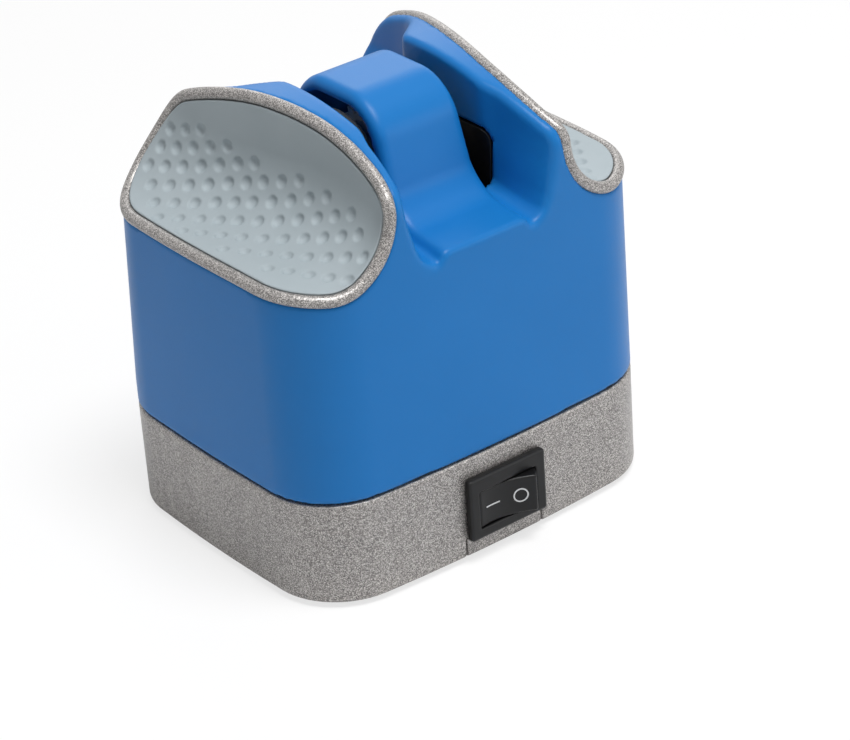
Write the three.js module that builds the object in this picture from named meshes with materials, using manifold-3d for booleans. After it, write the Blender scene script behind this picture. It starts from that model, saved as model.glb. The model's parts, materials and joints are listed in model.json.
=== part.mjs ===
// Compact electric knife sharpener, in millimetres.
// Origin on the table under the middle of the outer box, +Z up, -Y the side with the switch.
import * as THREE from "three";
import { mergeVertices } from "three/addons/utils/BufferGeometryUtils.js";
import Module from "manifold-3d";

const wasm = await Module();
wasm.setup();

// Clearances
const seatGap = 0.3;
const runGap = 0.1;
const overrun = 2;
const weldTolerance = 0.0001;

// Plan of the housing: a bowed rectangle with round corners
const halfLength = 48.2;
const halfDepth = 40.4;
const cornerRadius = 17.2;
const frontBow = 2.6;
const endBow = 1.6;
const housingWall = 2.4;
const draftShare = 0.006;

// Heights
const footHeight = 1.2;
const baseTop = 25.2;
const seamHeight = 0.6;
const roofCrest = 101.7;
const bodyBottom = baseTop + seamHeight;
const bodyHeight = roofCrest - bodyBottom;

// The back of the body leans forward above this height.
const leanRise = 5;
const leanStart = bodyBottom + leanRise;
const leanShare = 0.085;

// Roof arch, seen from the side
const archRadius = 80;
const archOffset = 1.2;
const frontShoulder = 5;
const backShoulder = 16;

// Recess between the lobes
const recessHalf = 15.3;
const recessMouthHalf = 14.6;
const mouthFlare = 5.7;
const backFlare = 10.6;
const mouthRise = 15;
const grooveShare = 0.66;
const grooveMouthShare = 0.626;
const grooveHeight = bodyBottom + bodyHeight * grooveShare;
const grooveMouthHeight = bodyBottom + bodyHeight * grooveMouthShare;

// Grip scoops and their rings. Each station gives its place from front to back, how far out the wall
// of the scoop stands, how large its bend is and how far its floor drops.
const scoopRadiusShare = 0.2108;
const scoopRadius = bodyHeight * scoopRadiusShare;
const scoopFloorShare = 0.639;
const scoopFloor = bodyBottom + bodyHeight * scoopFloorShare;
const scoopSpread = halfLength - recessHalf;
const scoopShares = [
  [-1.1, 0.26, 1, 0.13], [-0.97, 0.252, 1, 0.11], [-0.9, 0.21, 1, 0.09], [-0.8, 0.185, 1, 0.05],
  [-0.6, 0.17, 1, 0.01], [-0.4, 0.178, 1, 0], [-0.2, 0.213, 1, 0], [0, 0.258, 1, 0], [0.2, 0.303, 1, 0],
  [0.4, 0.36, 1.08, 0], [0.6, 0.395, 1.2, 0], [0.8, 0.41, 1.33, 0], [1.1, 0.42, 1.4, 0]];
const ringRadius = 1.5;
const ringSink = 0.4;
const padThickness = 1.5;
const padProud = 0.8;

// Bridge over the wheels and the tongues at its feet
const bridgeMiddleShare = 0.101;
const bridgeMiddle = -halfDepth * bridgeMiddleShare;
const bridgeSink = 0.2;
const bridgeTop = roofCrest - bridgeSink;
const bridgeTopShare = 0.34;
const bridgeTopHalfDepth = halfDepth * bridgeTopShare;
const bridgeFootShare = 0.504;
const bridgeFootHalfDepth = halfDepth * bridgeFootShare;
const bridgeFootHeightShare = 0.677;
const bridgeFootHeight = bodyBottom + bodyHeight * bridgeFootHeightShare;
const tongueMouthShare = 0.648;
const tongueMouthHeight = bodyBottom + bodyHeight * tongueMouthShare;
const bridgeHalfTop = 10.5;
const bridgeHalfFoot = 11.7;
const bridgeWall = 3;
const bridgeShoulder = 11.5;
const bridgeFillet = 5;
const bridgeEdge = 1.4;

// Slots beside the bridge
const slotInner = 11;
const slotEndInset = 1.4;
const linerRise = 12;
const linerCorner = 3;

// Bosses inside the body
const bossInsetX = 14.2;
const bossInsetY = 13.9;
const bossX = halfLength - bossInsetX;
const bossY = halfDepth - bossInsetY;
const bossRadius = 3.6;
const bossBore = 1.75;
const bossRib = 1.6;
const bossDropShare = 0.16;
const lipHeight = 2.2;
const lipWall = 1.4;

// Bottom cover and its tab
const coverSink = 0.4;
const coverThickness = 2.2;
const tabHalf = 10.3;
const ledgeWidth = 3;
const ledgeThickness = 1.6;

// Feet and cover screws
const footInsetX = 11.2;
const footInsetY = 21.9;
const footX = halfLength - footInsetX;
const footY = halfDepth - footInsetY;
const footRadius = 5;
const footStem = 1.7;
const screwHeadRadius = 2.9;
const screwHeadHeight = 1.2;
const screwShank = 1.4;
const screwLength = 12;

// Rocker switch
const switchHeight = 13.2;
const bezelHalfLength = 10.5;
const bezelHalfHeight = 7.5;
const bezelDepth = 1.7;
const bezelChamfer = 0.8;
const switchBodyHalf = 9.6;
const switchBodyHalfHeight = 6.5;
const switchBodyDepth = 13;
const rockerHalfLength = 7.2;
const rockerHalfHeight = 5.6;
const rockerAxisDepth = 1.6;
const rockerCrown = 1.6;
const rockerTilt = THREE.MathUtils.degToRad(12);
const rockerTrunnion = 1.1;
const rockerTrunnionLength = 0.5;
const rockerWellDepth = 7.4;
const terminalWidth = 4.8;
const terminalThickness = 0.8;
const terminalLength = 5.5;
const terminalPitch = 7;

// Gear train
const spindleGearDiameter = 18;
const gearBacklash = 0.22;
const gearWidth = 4.4;
const spindleTeeth = 18;
const idlerTeeth = 30;
const pinionTeeth = 12;
const gearModule = spindleGearDiameter / spindleTeeth;
const spindleDrop = 17.3;
const spindleHeight = bridgeTop - spindleDrop;
const spindleRadius = 2;
const idlerPinRadius = 2;
const motorShaftRadius = 1.5;

// Gearbox plates
const plateInner = 3.2;
const plateThickness = 2.2;
const plateTopHalf = 6.4;
const plateEndRoom = 23.4;
const plateFootHalf = halfDepth - plateEndRoom;
const plateFlange = 8;
const plateWindowShare = 0.28;
const plateWindowHalf = plateFootHalf * plateWindowShare;
const spacerRadius = 2.8;
const spacerInset = 3.6;
const spacerSpread = plateFootHalf - spacerInset;
const spacerHeight = 15;

// Grinding wheels
const wheelRadius = 11;
const wheelInset = 12.1;
const wheelRim = recessHalf - wheelInset;
const wheelConeAngle = THREE.MathUtils.degToRad(20);
const wheelConeFoot = 4.2;
const wheelStandoff = 1.1;
const bushRadius = 3.5;
const bushFlange = 4.4;
const bushFlangeThickness = 0.8;

// Motor
const motorRadius = 13.5;
const motorEndRoom = 20.2;
const motorLength = halfLength - motorEndRoom;
const motorRound = 2;
const endBellLength = 5;
const endBellRound = 1.2;
const motorBoss = 4.5;

// Blade guides
const guideAngle = THREE.MathUtils.degToRad(20);
const guideDepth = 10;
const guideWall = 1.7;
const guideFloor = 1.5;

// Power inlet and circuit board
const inletInset = 20.2;
const inletX = halfLength - inletInset;
const inletHeight = 14;
const inletRadius = 5;
const inletFlange = 6.4;
const inletFlangeThickness = 1;
const inletLength = 11;
const inletBore = 3;
const inletPin = 1;
const boardLengthShare = 0.54;
const boardLength = halfLength * boardLengthShare;
const boardHeight = 18;
const boardThickness = 1.6;
const boardPlaceShare = 0.275;
const boardX = -halfLength * boardPlaceShare;
const boardInset = 14.1;
const boardY = halfDepth - boardInset;
const capacitorRadius = 4;
const capacitorLength = 9;

const material = (color, roughness, metalness) =>
  new THREE.MeshStandardMaterial({ color, roughness, metalness });
const blueMaterial = material(0x2f78c4, 0.4, 0);
const silverMaterial = material(0x8d8f92, 0.5, 0.5);
const padMaterial = material(0x93a3a8, 0.8, 0);
const blackMaterial = material(0x17181a, 0.5, 0);
const steelMaterial = material(0xb4b6b8, 0.35, 1);
const brassMaterial = material(0xb08d4a, 0.4, 1);
const whiteMaterial = material(0xe4e2da, 0.5, 0);
const abrasiveMaterial = material(0xc9c4b8, 0.9, 0);
const rubberMaterial = material(0x202224, 0.9, 0);
const boardMaterial = material(0x2c6b45, 0.6, 0);

const object = new THREE.Group();

// Turns a closed geometry into a solid that can be cut and joined, its faces turned outwards.
function solid(geometry) {
  const bare = geometry.index ? geometry.toNonIndexed() : geometry.clone();
  bare.deleteAttribute("normal");
  bare.deleteAttribute("uv");
  const merged = mergeVertices(bare, weldTolerance);
  const index = [];
  for (let i = 0; i < merged.index.count; i += 3) {
    const [a, b, c] = [0, 1, 2].map((k) => merged.index.getX(i + k));
    if (a !== b && b !== c && c !== a) index.push(a, b, c);
  }
  const points = new Float32Array(merged.attributes.position.array);
  const point = (i) => new THREE.Vector3().fromArray(points, index[i] * 3);
  let volume = 0;
  for (let i = 0; i < index.length; i += 3) volume += point(i).dot(point(i + 1).cross(point(i + 2)));
  if (volume < 0) index.reverse();
  const mesh = new wasm.Mesh({
    numProp: 3,
    vertProperties: points,
    triVerts: new Uint32Array(index),
  });
  return new wasm.Manifold(mesh);
}

// Adds a solid to the object as a named piece.
function add(name, shape, look) {
  const mesh = shape.getMesh();
  const geometry = new THREE.BufferGeometry();
  const points = new Float32Array((mesh.vertProperties.length / mesh.numProp) * 3);
  for (let i = 0; i < points.length / 3; i += 1) {
    for (let k = 0; k < 3; k += 1) points[i * 3 + k] = mesh.vertProperties[i * mesh.numProp + k];
  }
  geometry.setAttribute("position", new THREE.BufferAttribute(points, 3));
  geometry.setIndex(new THREE.BufferAttribute(mesh.triVerts.slice(), 1));
  geometry.computeVertexNormals();
  const piece = new THREE.Mesh(geometry, look);
  piece.name = name;
  object.add(piece);
}

// Closed solid through rings of equally many points, with both ends capped.
function loft(rings, flat) {
  const count = rings[0].length;
  const points = rings.flat().flatMap((p) => [p.x, p.y, p.z]);
  const index = [];
  for (let r = 0; r < rings.length - 1; r += 1) {
    for (let i = 0; i < count; i += 1) {
      const a = r * count + i;
      const b = r * count + ((i + 1) % count);
      index.push(a, b, b + count, a, b + count, a + count);
    }
  }
  const face = rings[0].map(flat);
  const cap = THREE.ShapeUtils.triangulateShape(face, []);
  const capArea = cap.reduce((sum, t) => sum + THREE.ShapeUtils.area(t.map((i) => face[i])), 0);
  const order = capArea * THREE.ShapeUtils.area(face) > 0 ? [0, 1, 2] : [0, 2, 1];
  const last = (rings.length - 1) * count;
  cap.forEach((t) => {
    const [a, b, c] = order.map((k) => t[k]);
    index.push(a, c, b, last + a, last + b, last + c);
  });
  const geometry = new THREE.BufferGeometry();
  geometry.setAttribute("position", new THREE.Float32BufferAttribute(points, 3));
  geometry.setIndex(index);
  return solid(geometry);
}

// Prisms along each axis, from outlines in the two other coordinates.
const flatX = (p) => new THREE.Vector2(p.y, p.z);
const flatY = (p) => new THREE.Vector2(p.x, p.z);
const flatZ = (p) => new THREE.Vector2(p.x, p.y);
const prismX = (outline, from, to) =>
  loft([from, to].map((x) => outline.map(([y, z]) => new THREE.Vector3(x, y, z))), flatX);
const prismY = (outline, from, to) =>
  loft([from, to].map((y) => outline.map(([x, z]) => new THREE.Vector3(x, y, z))), flatY);
const prismZ = (outline, from, to) =>
  loft([from, to].map((z) => outline.map(([x, y]) => new THREE.Vector3(x, y, z))), flatZ);
const rectangle = (x0, x1, y0, y1) => [[x0, y0], [x1, y0], [x1, y1], [x0, y1]];
const box = (x0, x1, y0, y1, z0, z1) => prismZ(rectangle(x0, x1, y0, y1), z0, z1);
const mirrorX = (shape) => shape.mirror([1, 0, 0]);

// Turned piece: a closed profile of radius and position, laid along X, Y or Z.
function turned(profile, axis, at, segments = 24) {
  const loop = [...profile, profile[0]].map(([r, t]) => new THREE.Vector2(r, t));
  const geometry = new THREE.LatheGeometry(loop, segments);
  if (axis === "x") geometry.rotateZ(-Math.PI / 2);
  if (axis === "z") geometry.rotateX(Math.PI / 2);
  geometry.translate(at[0], at[1], at[2]);
  return solid(geometry);
}
const rod = (radius, from, to, axis, at, segments) =>
  turned([[0, from], [radius, from], [radius, to], [0, to]], axis, at, segments);
const tube = (radius, bore, from, to, axis, at, segments) =>
  turned([[bore, from], [radius, from], [radius, to], [bore, to]], axis, at, segments);

// Polyline with its inner corners rounded; every corner gives the same number of points.
function rounded(points, steps = 6) {
  return points.flatMap(([x, y, radius], i) => {
    if (!radius) return [[x, y]];
    const [px, py] = points[(i + points.length - 1) % points.length];
    const [nx, ny] = points[(i + 1) % points.length];
    const corner = new THREE.Vector2(x, y);
    const back = new THREE.Vector2(px, py).sub(corner).normalize();
    const ahead = new THREE.Vector2(nx, ny).sub(corner).normalize();
    const half = Math.acos(THREE.MathUtils.clamp(back.dot(ahead), -1, 1)) / 2;
    const bisector = back.clone().add(ahead).normalize();
    const centre = corner.clone().add(bisector.multiplyScalar(radius / Math.sin(half)));
    const start = corner.clone().add(back.multiplyScalar(radius / Math.tan(half))).sub(centre);
    const end = corner.clone().add(ahead.multiplyScalar(radius / Math.tan(half))).sub(centre);
    const turn = Math.atan2(start.cross(end), start.dot(end));
    return Array.from({ length: steps + 1 }, (_, k) => {
      const p = start.clone().rotateAround(new THREE.Vector2(), (turn * k) / steps).add(centre);
      return [p.x, p.y];
    });
  });
}

// Plan outline. The front, end and corner arcs keep their centres when they are inset.
const frontArc = (halfLength ** 2 + frontBow ** 2) / (2 * frontBow);
const endArc = (halfDepth ** 2 + endBow ** 2) / (2 * endBow);
const frontCentre = new THREE.Vector2(0, frontArc - halfDepth);
const endCentre = new THREE.Vector2(halfLength - endArc, 0);
function cornerCentre() {
  const toFront = frontArc - cornerRadius;
  const toEnd = endArc - cornerRadius;
  const span = endCentre.clone().sub(frontCentre);
  const along = (toFront ** 2 - toEnd ** 2 + span.lengthSq()) / (2 * span.length());
  const off = Math.sqrt(toFront ** 2 - along ** 2);
  const unit = span.clone().normalize();
  const side = new THREE.Vector2(unit.y, -unit.x).multiplyScalar(off);
  const foot = frontCentre.clone().add(unit.multiplyScalar(along));
  const choice = [foot.clone().add(side), foot.clone().sub(side)];
  return choice.find((p) => p.x > 0 && p.y < 0);
}
const corner = cornerCentre();
const frontTangent = corner.clone().sub(frontCentre).angle() - 2 * Math.PI;
const endTangent = corner.clone().sub(endCentre).angle() - 2 * Math.PI;
const arc = (centre, radius, from, to, steps) =>
  Array.from({ length: steps }, (_, i) => {
    const angle = from + ((to - from) * i) / steps;
    return [centre.x + radius * Math.cos(angle), centre.y + radius * Math.sin(angle)];
  });
function planOutline(inset) {
  const quarter = [
    ...arc(frontCentre, frontArc - inset, -Math.PI / 2, frontTangent, 4),
    ...arc(corner, cornerRadius - inset, frontTangent, endTangent, 7),
    ...arc(endCentre, endArc - inset, endTangent, 0, 3),
    [halfLength - inset, 0],
  ];
  const half = [...quarter, ...quarter.slice(0, -1).reverse().map(([x, y]) => [x, -y])];
  return [...half, ...half.slice(1, -1).reverse().map(([x, y]) => [-x, y])];
}
const drafted = (z) => Math.max(z - baseTop, 0) * draftShare;
const planSolid = (stations) =>
  loft(stations.map(([inset, z]) =>
    planOutline(inset + drafted(z)).map(([x, y]) => new THREE.Vector3(x, y, z))), flatZ);
const frontY = (x, inset) => frontCentre.y - Math.sqrt((frontArc - inset) ** 2 - x ** 2);

// Roof: the side profile of the housing, carried across it along the bow of the front.
const archCentreZ = roofCrest - archRadius;
const shoulderRadius = (side) => (side < 0 ? frontShoulder : backShoulder);
function shoulder(side, x) {
  const radius = shoulderRadius(side);
  const y = side * (-frontY(x, drafted(roofCrest - radius)) - radius);
  const z = archCentreZ + Math.sqrt((archRadius - radius) ** 2 - (y - archOffset) ** 2);
  return { y, z, angle: Math.atan2(z - archCentreZ, y - archOffset) };
}
function roofOutline(x, inset, bottom) {
  const front = shoulder(-1, x);
  const back = shoulder(1, x);
  const sweep = (cy, cz, radius, from, to, steps) =>
    Array.from({ length: steps + 1 }, (_, i) => {
      const angle = from + ((to - from) * i) / steps;
      return [cy + radius * Math.cos(angle), cz + radius * Math.sin(angle)];
    });
  return [
    [front.y - frontShoulder + inset - overrun, bottom],
    ...sweep(front.y, front.z, frontShoulder - inset, Math.PI, front.angle, 4),
    ...sweep(archOffset, archCentreZ, archRadius - inset, front.angle, back.angle, 12).slice(1, -1),
    ...sweep(back.y, back.z, backShoulder - inset, back.angle, 0, 6),
    [back.y + backShoulder - inset + overrun, bottom],
  ];
}
function roofSolid(inset, bottom) {
  const stationShares = [-1.05, -0.58, -0.29, 0, 0.29, 0.58, 1.05];
  return loft(stationShares.map((share) => {
    const x = share * halfLength;
    return roofOutline(Math.min(Math.abs(x), corner.x), inset, bottom)
      .map(([y, z]) => new THREE.Vector3(x, y, z));
  }), flatX);
}
function housing(inset, bottom) {
  const plan = planSolid([[inset, bottom], [inset, roofCrest + overrun]]);
  return plan.intersect(roofSolid(inset, bottom - overrun));
}
// Leans the back of a finished piece of the body forward.
const lean = (shape) => shape.warp((v) => {
  v[1] -= leanShare * Math.max(v[2] - leanStart, 0) * Math.max(v[1] / halfDepth, 0);
});

// Scoop on the -X side: everything outside a rounded wall that runs along the lobe.
function scoopAt(y) {
  const share = y / halfDepth;
  const passed = scoopShares.filter(([start]) => start < share).length;
  const i = Math.min(Math.max(passed, 1), scoopShares.length - 1);
  const [low, high] = [scoopShares[i - 1], scoopShares[i]];
  const between = (k) => THREE.MathUtils.mapLinear(share, low[0], high[0], low[k], high[k]);
  const wall = recessHalf + scoopSpread * between(1);
  const radius = scoopRadius * between(2);
  const floor = scoopFloor - scoopRadius * between(3);
  return { wall, radius, floor, axisX: wall + radius, axisZ: floor + radius };
}
function scoopSurface(x, y) {
  const { radius, floor, axisX, axisZ } = scoopAt(y);
  const depth = axisX - Math.abs(x);
  return depth > 0 ? axisZ - Math.sqrt(radius ** 2 - depth ** 2) : floor;
}
function scoopSection(y, offset) {
  const { radius, floor, axisX, axisZ } = scoopAt(y);
  const bend = radius + offset;
  const far = -(halfLength + scoopRadius);
  const top = roofCrest + overrun + overrun;
  const steps = 9;
  const curve = Array.from({ length: steps + 1 }, (_, i) => {
    const angle = (Math.PI / 2) * (i / steps);
    return [-axisX + bend * Math.sin(angle), axisZ - bend * Math.cos(angle)];
  });
  return [[far, floor - offset], ...curve, [-axisX + bend, top], [far, top]]
    .map(([x, z]) => new THREE.Vector3(x, y, z));
}
const acrossY = halfDepth + overrun;
const scoop = (offset) =>
  loft(scoopShares.map(([share]) => scoopSection(share * halfDepth, offset)), flatY);

// Centre line of the ring: where the scoop meets the skin of the housing.
function skinHalf(x, z, side) {
  const inset = ringSink + drafted(z);
  const wide = Math.abs(x);
  const onCorner = wide > corner.x;
  const reach = cornerRadius - inset;
  const plan = onCorner
    ? -corner.y + Math.sqrt(Math.max(reach ** 2 - (wide - corner.x) ** 2, 0))
    : -frontY(wide, inset);
  const point = shoulder(side, Math.min(wide, corner.x));
  if (z <= point.z) return side * plan;
  const small = shoulderRadius(side) - ringSink;
  const large = archRadius - ringSink;
  const top = point.z + small * Math.sin(point.angle);
  const roof = z < top
    ? side * point.y + Math.sqrt(small ** 2 - (z - point.z) ** 2)
    : side * archOffset + Math.sqrt(large ** 2 - (z - archCentreZ) ** 2);
  return side * Math.min(plan, roof);
}
function ringSide(side) {
  const points = [];
  const inset = ringSink + drafted(scoopFloor);
  arc(corner, cornerRadius - inset, endTangent, frontTangent, 5).forEach(([x, y]) => {
    points.push(new THREE.Vector3(-x, -side * y, scoopSurface(x, -side * y)));
  });
  const last = points[points.length - 1];
  const lowest = scoopAt(last.y);
  const start = Math.asin((lowest.axisX - Math.abs(last.x)) / lowest.radius);
  const climb = 6;
  for (let i = 1; i <= climb; i += 1) {
    const angle = start + ((Math.PI / 2 - start) * i) / climb;
    const point = last.clone();
    for (let turn = 0; turn < 8; turn += 1) {
      const { radius, axisX, axisZ } = scoopAt(point.y);
      point.x = -axisX + radius * Math.sin(angle);
      point.z = axisZ - radius * Math.cos(angle);
      point.y = skinHalf(point.x, point.z, side);
    }
    points.push(point);
  }
  return points;
}
function ringPath() {
  const front = ringSide(-1);
  const back = ringSide(1);
  const high = roofOutline(scoopAt(0).wall, ringSink, baseTop)
    .filter(([y, z]) => z > scoopAt(y).axisZ + ringRadius)
    .map(([y, z]) => new THREE.Vector3(-scoopAt(y).wall, y, z));
  const endX = (y) => endCentre.x + Math.sqrt((endArc - ringSink - drafted(scoopFloor)) ** 2 - y ** 2);
  const sideShares = [0.66, 0.33, 0, -0.33, -0.66];
  const side = sideShares.map((share) => {
    const y = -share * corner.y;
    return new THREE.Vector3(-endX(y), y, scoopSurface(endX(y), y));
  });
  return new THREE.CatmullRomCurve3([...side, ...front, ...high, ...back.reverse()], true);
}
const ringCurve = ringPath();
const ringSteps = 84;
const ringTube = (radius) =>
  solid(new THREE.TubeGeometry(ringCurve, ringSteps, radius, 8, true));
const ringChannel = ringTube(ringRadius + seatGap);

// Recess between the lobes: narrow beside the bridge, flared towards the front and, wider, the back.
const recessFrontShare = 0.507;
const recessBackShare = 0.16;
const recessFront = -halfDepth * recessFrontShare;
const recessBack = halfDepth * recessBackShare;
const flareShares = [[0, 0], [0.24, 0.1], [0.5, 0.28], [0.64, 0.45], [0.88, 0.75], [1, 1]];
const frontStations = [[1.05, 1], [1, 1], [0.9, 0.72], [0.74, 0.46], [0.61, 0.3], [0.57, 0.2],
  [recessFrontShare, 0]];
const backStations = [[recessBackShare, 0], [0.235, 0.3], [0.3, 0.55], [0.36, 0.73], [0.45, 0.87],
  [0.6, 0.94], [0.8, 0.97], [1, 1], [1.05, 1]];
function recessSection(y, half, flare, floor, grown) {
  const top = roofCrest + overrun;
  const side = flareShares.map(([u, v]) => [half + grown + flare * u, floor - grown + mouthRise * v]);
  side.push([half + grown + flare, top]);
  const outline = [...side, ...side.slice().reverse().map(([x, z]) => [-x, z])];
  return outline.map(([x, z]) => new THREE.Vector3(x, y, z));
}
function recess(grown) {
  const section = (side, end, start, flare) => {
    const near = Math.abs(start) / halfDepth;
    return ([share, open]) => {
      const out = THREE.MathUtils.mapLinear(share, near, 1, 0, 1);
      return recessSection(side * share * halfDepth, THREE.MathUtils.lerp(recessHalf, end, out),
        flare * open, THREE.MathUtils.lerp(grooveHeight, grooveMouthHeight, out), grown);
    };
  };
  return loft([
    ...frontStations.map(section(-1, recessMouthHalf, recessFront, mouthFlare)),
    ...backStations.map(section(1, recessHalf, recessBack, backFlare))], flatY);
}

// Bridge with its tongues: a side profile carried across, with softened side edges.
function bridgeProfile(inset, floor) {
  const top = bridgeTop - inset;
  const foot = bridgeFootHeight - inset;
  const mouth = tongueMouthHeight - inset;
  const shoulderCut = bridgeShoulder - inset;
  const fillet = bridgeFillet + inset;
  const y = (half) => half - inset;
  return rounded([
    [-halfDepth - overrun, floor, 0],
    [-halfDepth - overrun, mouth, 0],
    [bridgeMiddle - y(bridgeFootHalfDepth), foot, fillet],
    [bridgeMiddle - y(bridgeTopHalfDepth), top, shoulderCut],
    [bridgeMiddle + y(bridgeTopHalfDepth), top, shoulderCut],
    [bridgeMiddle + y(bridgeFootHalfDepth), foot, fillet],
    [halfDepth + overrun, mouth, 0],
    [halfDepth + overrun, floor, 0],
  ]);
}
const bridgeHalfAt = (z) => bridgeHalfFoot
  + ((bridgeHalfTop - bridgeHalfFoot) * (z - bridgeFootHeight)) / (bridgeTop - bridgeFootHeight);
function bridge() {
  const floor = grooveMouthHeight - housingWall;
  const edgeShares = [[0, 1], [0.3, 0.3], [1, 0]];
  const ring = (side, [out, down]) => bridgeProfile(bridgeEdge * down, floor)
    .map(([y, z]) => new THREE.Vector3(side * (bridgeHalfAt(z) - bridgeEdge * out), y, z));
  return loft([...edgeShares.map((share) => ring(-1, share)),
    ...edgeShares.slice().reverse().map((share) => ring(1, share))], flatX);
}
function bridgeCavity() {
  const low = grooveMouthHeight - housingWall - overrun;
  const slope = (bridgeFootHalfDepth - bridgeTopHalfDepth) / (bridgeTop - bridgeFootHeight);
  const footHalf = bridgeTopHalfDepth + slope * (bridgeTop - low) - bridgeWall;
  const topHalf = bridgeTopHalfDepth - bridgeWall + slope * bridgeWall;
  const top = bridgeTop - bridgeWall;
  const round = bridgeShoulder - bridgeWall;
  return prismX(rounded([
    [bridgeMiddle - footHalf, low, 0],
    [bridgeMiddle - topHalf, top, round],
    [bridgeMiddle + topHalf, top, round],
    [bridgeMiddle + footHalf, low, 0],
  ]), -recessHalf, recessHalf);
}
const slotWidth = recessHalf - slotInner;
function slotCut() {
  const reach = bridgeFootHalfDepth - slotEndInset;
  const round = slotWidth * 0.49;
  return prismZ(rounded([
    [slotInner, bridgeMiddle - reach, round],
    [recessHalf, bridgeMiddle - reach, round],
    [recessHalf, bridgeMiddle + reach, round],
    [slotInner, bridgeMiddle + reach, round],
  ]), grooveMouthHeight - housingWall - overrun, roofCrest + overrun);
}

// Outline of the liner that faces the lobe beside a slot, seen from the side
const slotFront = bridgeMiddle - bridgeFootHalfDepth + slotEndInset;
const linerOutline = (grown, low) => rounded([
  [slotFront + seatGap - grown, low, 0],
  [slotFront + seatGap - grown, grooveHeight + linerRise + grown, linerCorner + grown],
  [recessBack - seatGap + grown, grooveHeight + linerRise + grown, linerCorner + grown],
  [recessBack - seatGap + grown, low, 0],
]);
const linerWindow = () => prismX(linerOutline(seatGap, grooveMouthHeight - housingWall - overrun),
  recessHalf - seatGap, recessHalf + housingWall);

// Body shell
const coverTop = footHeight + coverSink + coverThickness;
const bossBottom = coverTop + seatGap;
const bossTop = scoopFloor - padThickness - scoopRadius * bossDropShare;
const bosses = [[-1, -1], [1, -1], [-1, 1], [1, 1]];
function bodyShell() {
  const pocket = padThickness - padProud + seatGap;
  const outer = housing(0, bodyBottom).subtract(scoop(pocket)).subtract(mirrorX(scoop(pocket)))
    .subtract(ringChannel).subtract(mirrorX(ringChannel)).subtract(recess(0));
  const skin = planSolid([[0, bodyBottom], [0, roofCrest + overrun]]);
  const inner = housing(housingWall, bodyBottom - overrun)
    .subtract(scoop(pocket + housingWall)).subtract(mirrorX(scoop(pocket + housingWall)))
    .subtract(recess(housingWall));
  let shell = outer.add(bridge().intersect(skin)).subtract(inner)
    .subtract(bridgeCavity()).subtract(slotCut()).subtract(mirrorX(slotCut()))
    .subtract(linerWindow()).subtract(mirrorX(linerWindow()));
  bosses.forEach(([sx, sy]) => {
    const column = rod(bossRadius, bossBottom, bossTop, "z", [sx * bossX, sy * bossY, 0], 16);
    const out = new THREE.Vector2(sx * bossX, sy * bossY);
    const away = out.clone().sub(new THREE.Vector2(sx * corner.x, -sy * corner.y)).normalize();
    const tip = out.clone().add(away.clone().multiplyScalar(cornerRadius));
    const across = new THREE.Vector2(-away.y, away.x).multiplyScalar(bossRib / 2);
    const rib = prismZ([[out.x + across.x, out.y + across.y], [tip.x + across.x, tip.y + across.y],
      [tip.x - across.x, tip.y - across.y], [out.x - across.x, out.y - across.y]],
    bodyBottom + lipHeight + seatGap + seatGap, bossTop);
    const bore = rod(bossBore, bossBottom - overrun, bossBottom + screwLength, "z",
      [sx * bossX, sy * bossY, 0], 12);
    const kept = column.add(rib.intersect(housing(housingWall / 2, bodyBottom)));
    shell = shell.add(kept).subtract(bore);
  });
  return shell;
}
add("body_shell", lean(bodyShell()), blueMaterial);

// Grip rings and pads
const ring = lean(ringTube(ringRadius));
add("grip_ring_left", ring, silverMaterial);
add("grip_ring_right", mirrorX(ring), silverMaterial);
function gripPad() {
  const slab = scoop(padThickness - padProud).subtract(scoop(-padProud));
  return slab.intersect(housing(seatGap, bodyBottom)).subtract(ringChannel);
}
const pad = lean(gripPad());
add("grip_pad_left", pad, padMaterial);
add("grip_pad_right", mirrorX(pad), padMaterial);

// Base tray: the silver wall, its lip inside the body and the ledge over the cover
const trayTop = baseTop;
const trayInner = housingWall;
const inletY = -frontY(inletX - inletFlange, 0);
function baseTray() {
  const band = planSolid([[0, footHeight], [0, trayTop]]);
  const hollow = planSolid([[trayInner, footHeight - overrun], [trayInner, trayTop + overrun]]);
  const lipOuter = trayInner + seatGap;
  const lip = planSolid([[trayInner - lipWall / 2, trayTop - lipWall * 2],
    [lipOuter, trayTop - lipWall], [lipOuter, bodyBottom + lipHeight]]);
  const lipHollow = planSolid([[trayInner + lipWall, trayTop - lipWall * 3],
    [trayInner + lipWall, bodyBottom + lipHeight + overrun]]);
  const ledge = planSolid([[trayInner / 2, bossBottom], [trayInner / 2, bossBottom + ledgeThickness]]);
  const ledgeHollow = planSolid([[trayInner + ledgeWidth, bossBottom - overrun],
    [trayInner + ledgeWidth, bossBottom + ledgeThickness + overrun]]);
  const cutHalf = switchBodyHalf + runGap;
  const cutHeight = switchBodyHalfHeight + runGap;
  const window = box(-cutHalf, cutHalf, -acrossY, bridgeMiddle - bridgeFootHalfDepth - overrun,
    switchHeight - cutHeight, switchHeight + cutHeight);
  const tabCut = box(-tabHalf - seatGap, tabHalf + seatGap, -acrossY,
    trayInner + ledgeWidth + overrun - halfDepth, footHeight - overrun, tabTop + seatGap);
  const inletCut = rod(inletRadius + runGap, inletY - inletLength, inletY + overrun, "y",
    [inletX, 0, inletHeight]);
  return band.subtract(hollow).add(lip.subtract(lipHollow)).add(ledge.subtract(ledgeHollow))
    .subtract(window).subtract(tabCut).subtract(inletCut);
}
const tabTop = switchHeight - bezelHalfHeight;
add("base_tray", baseTray(), silverMaterial);

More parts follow.
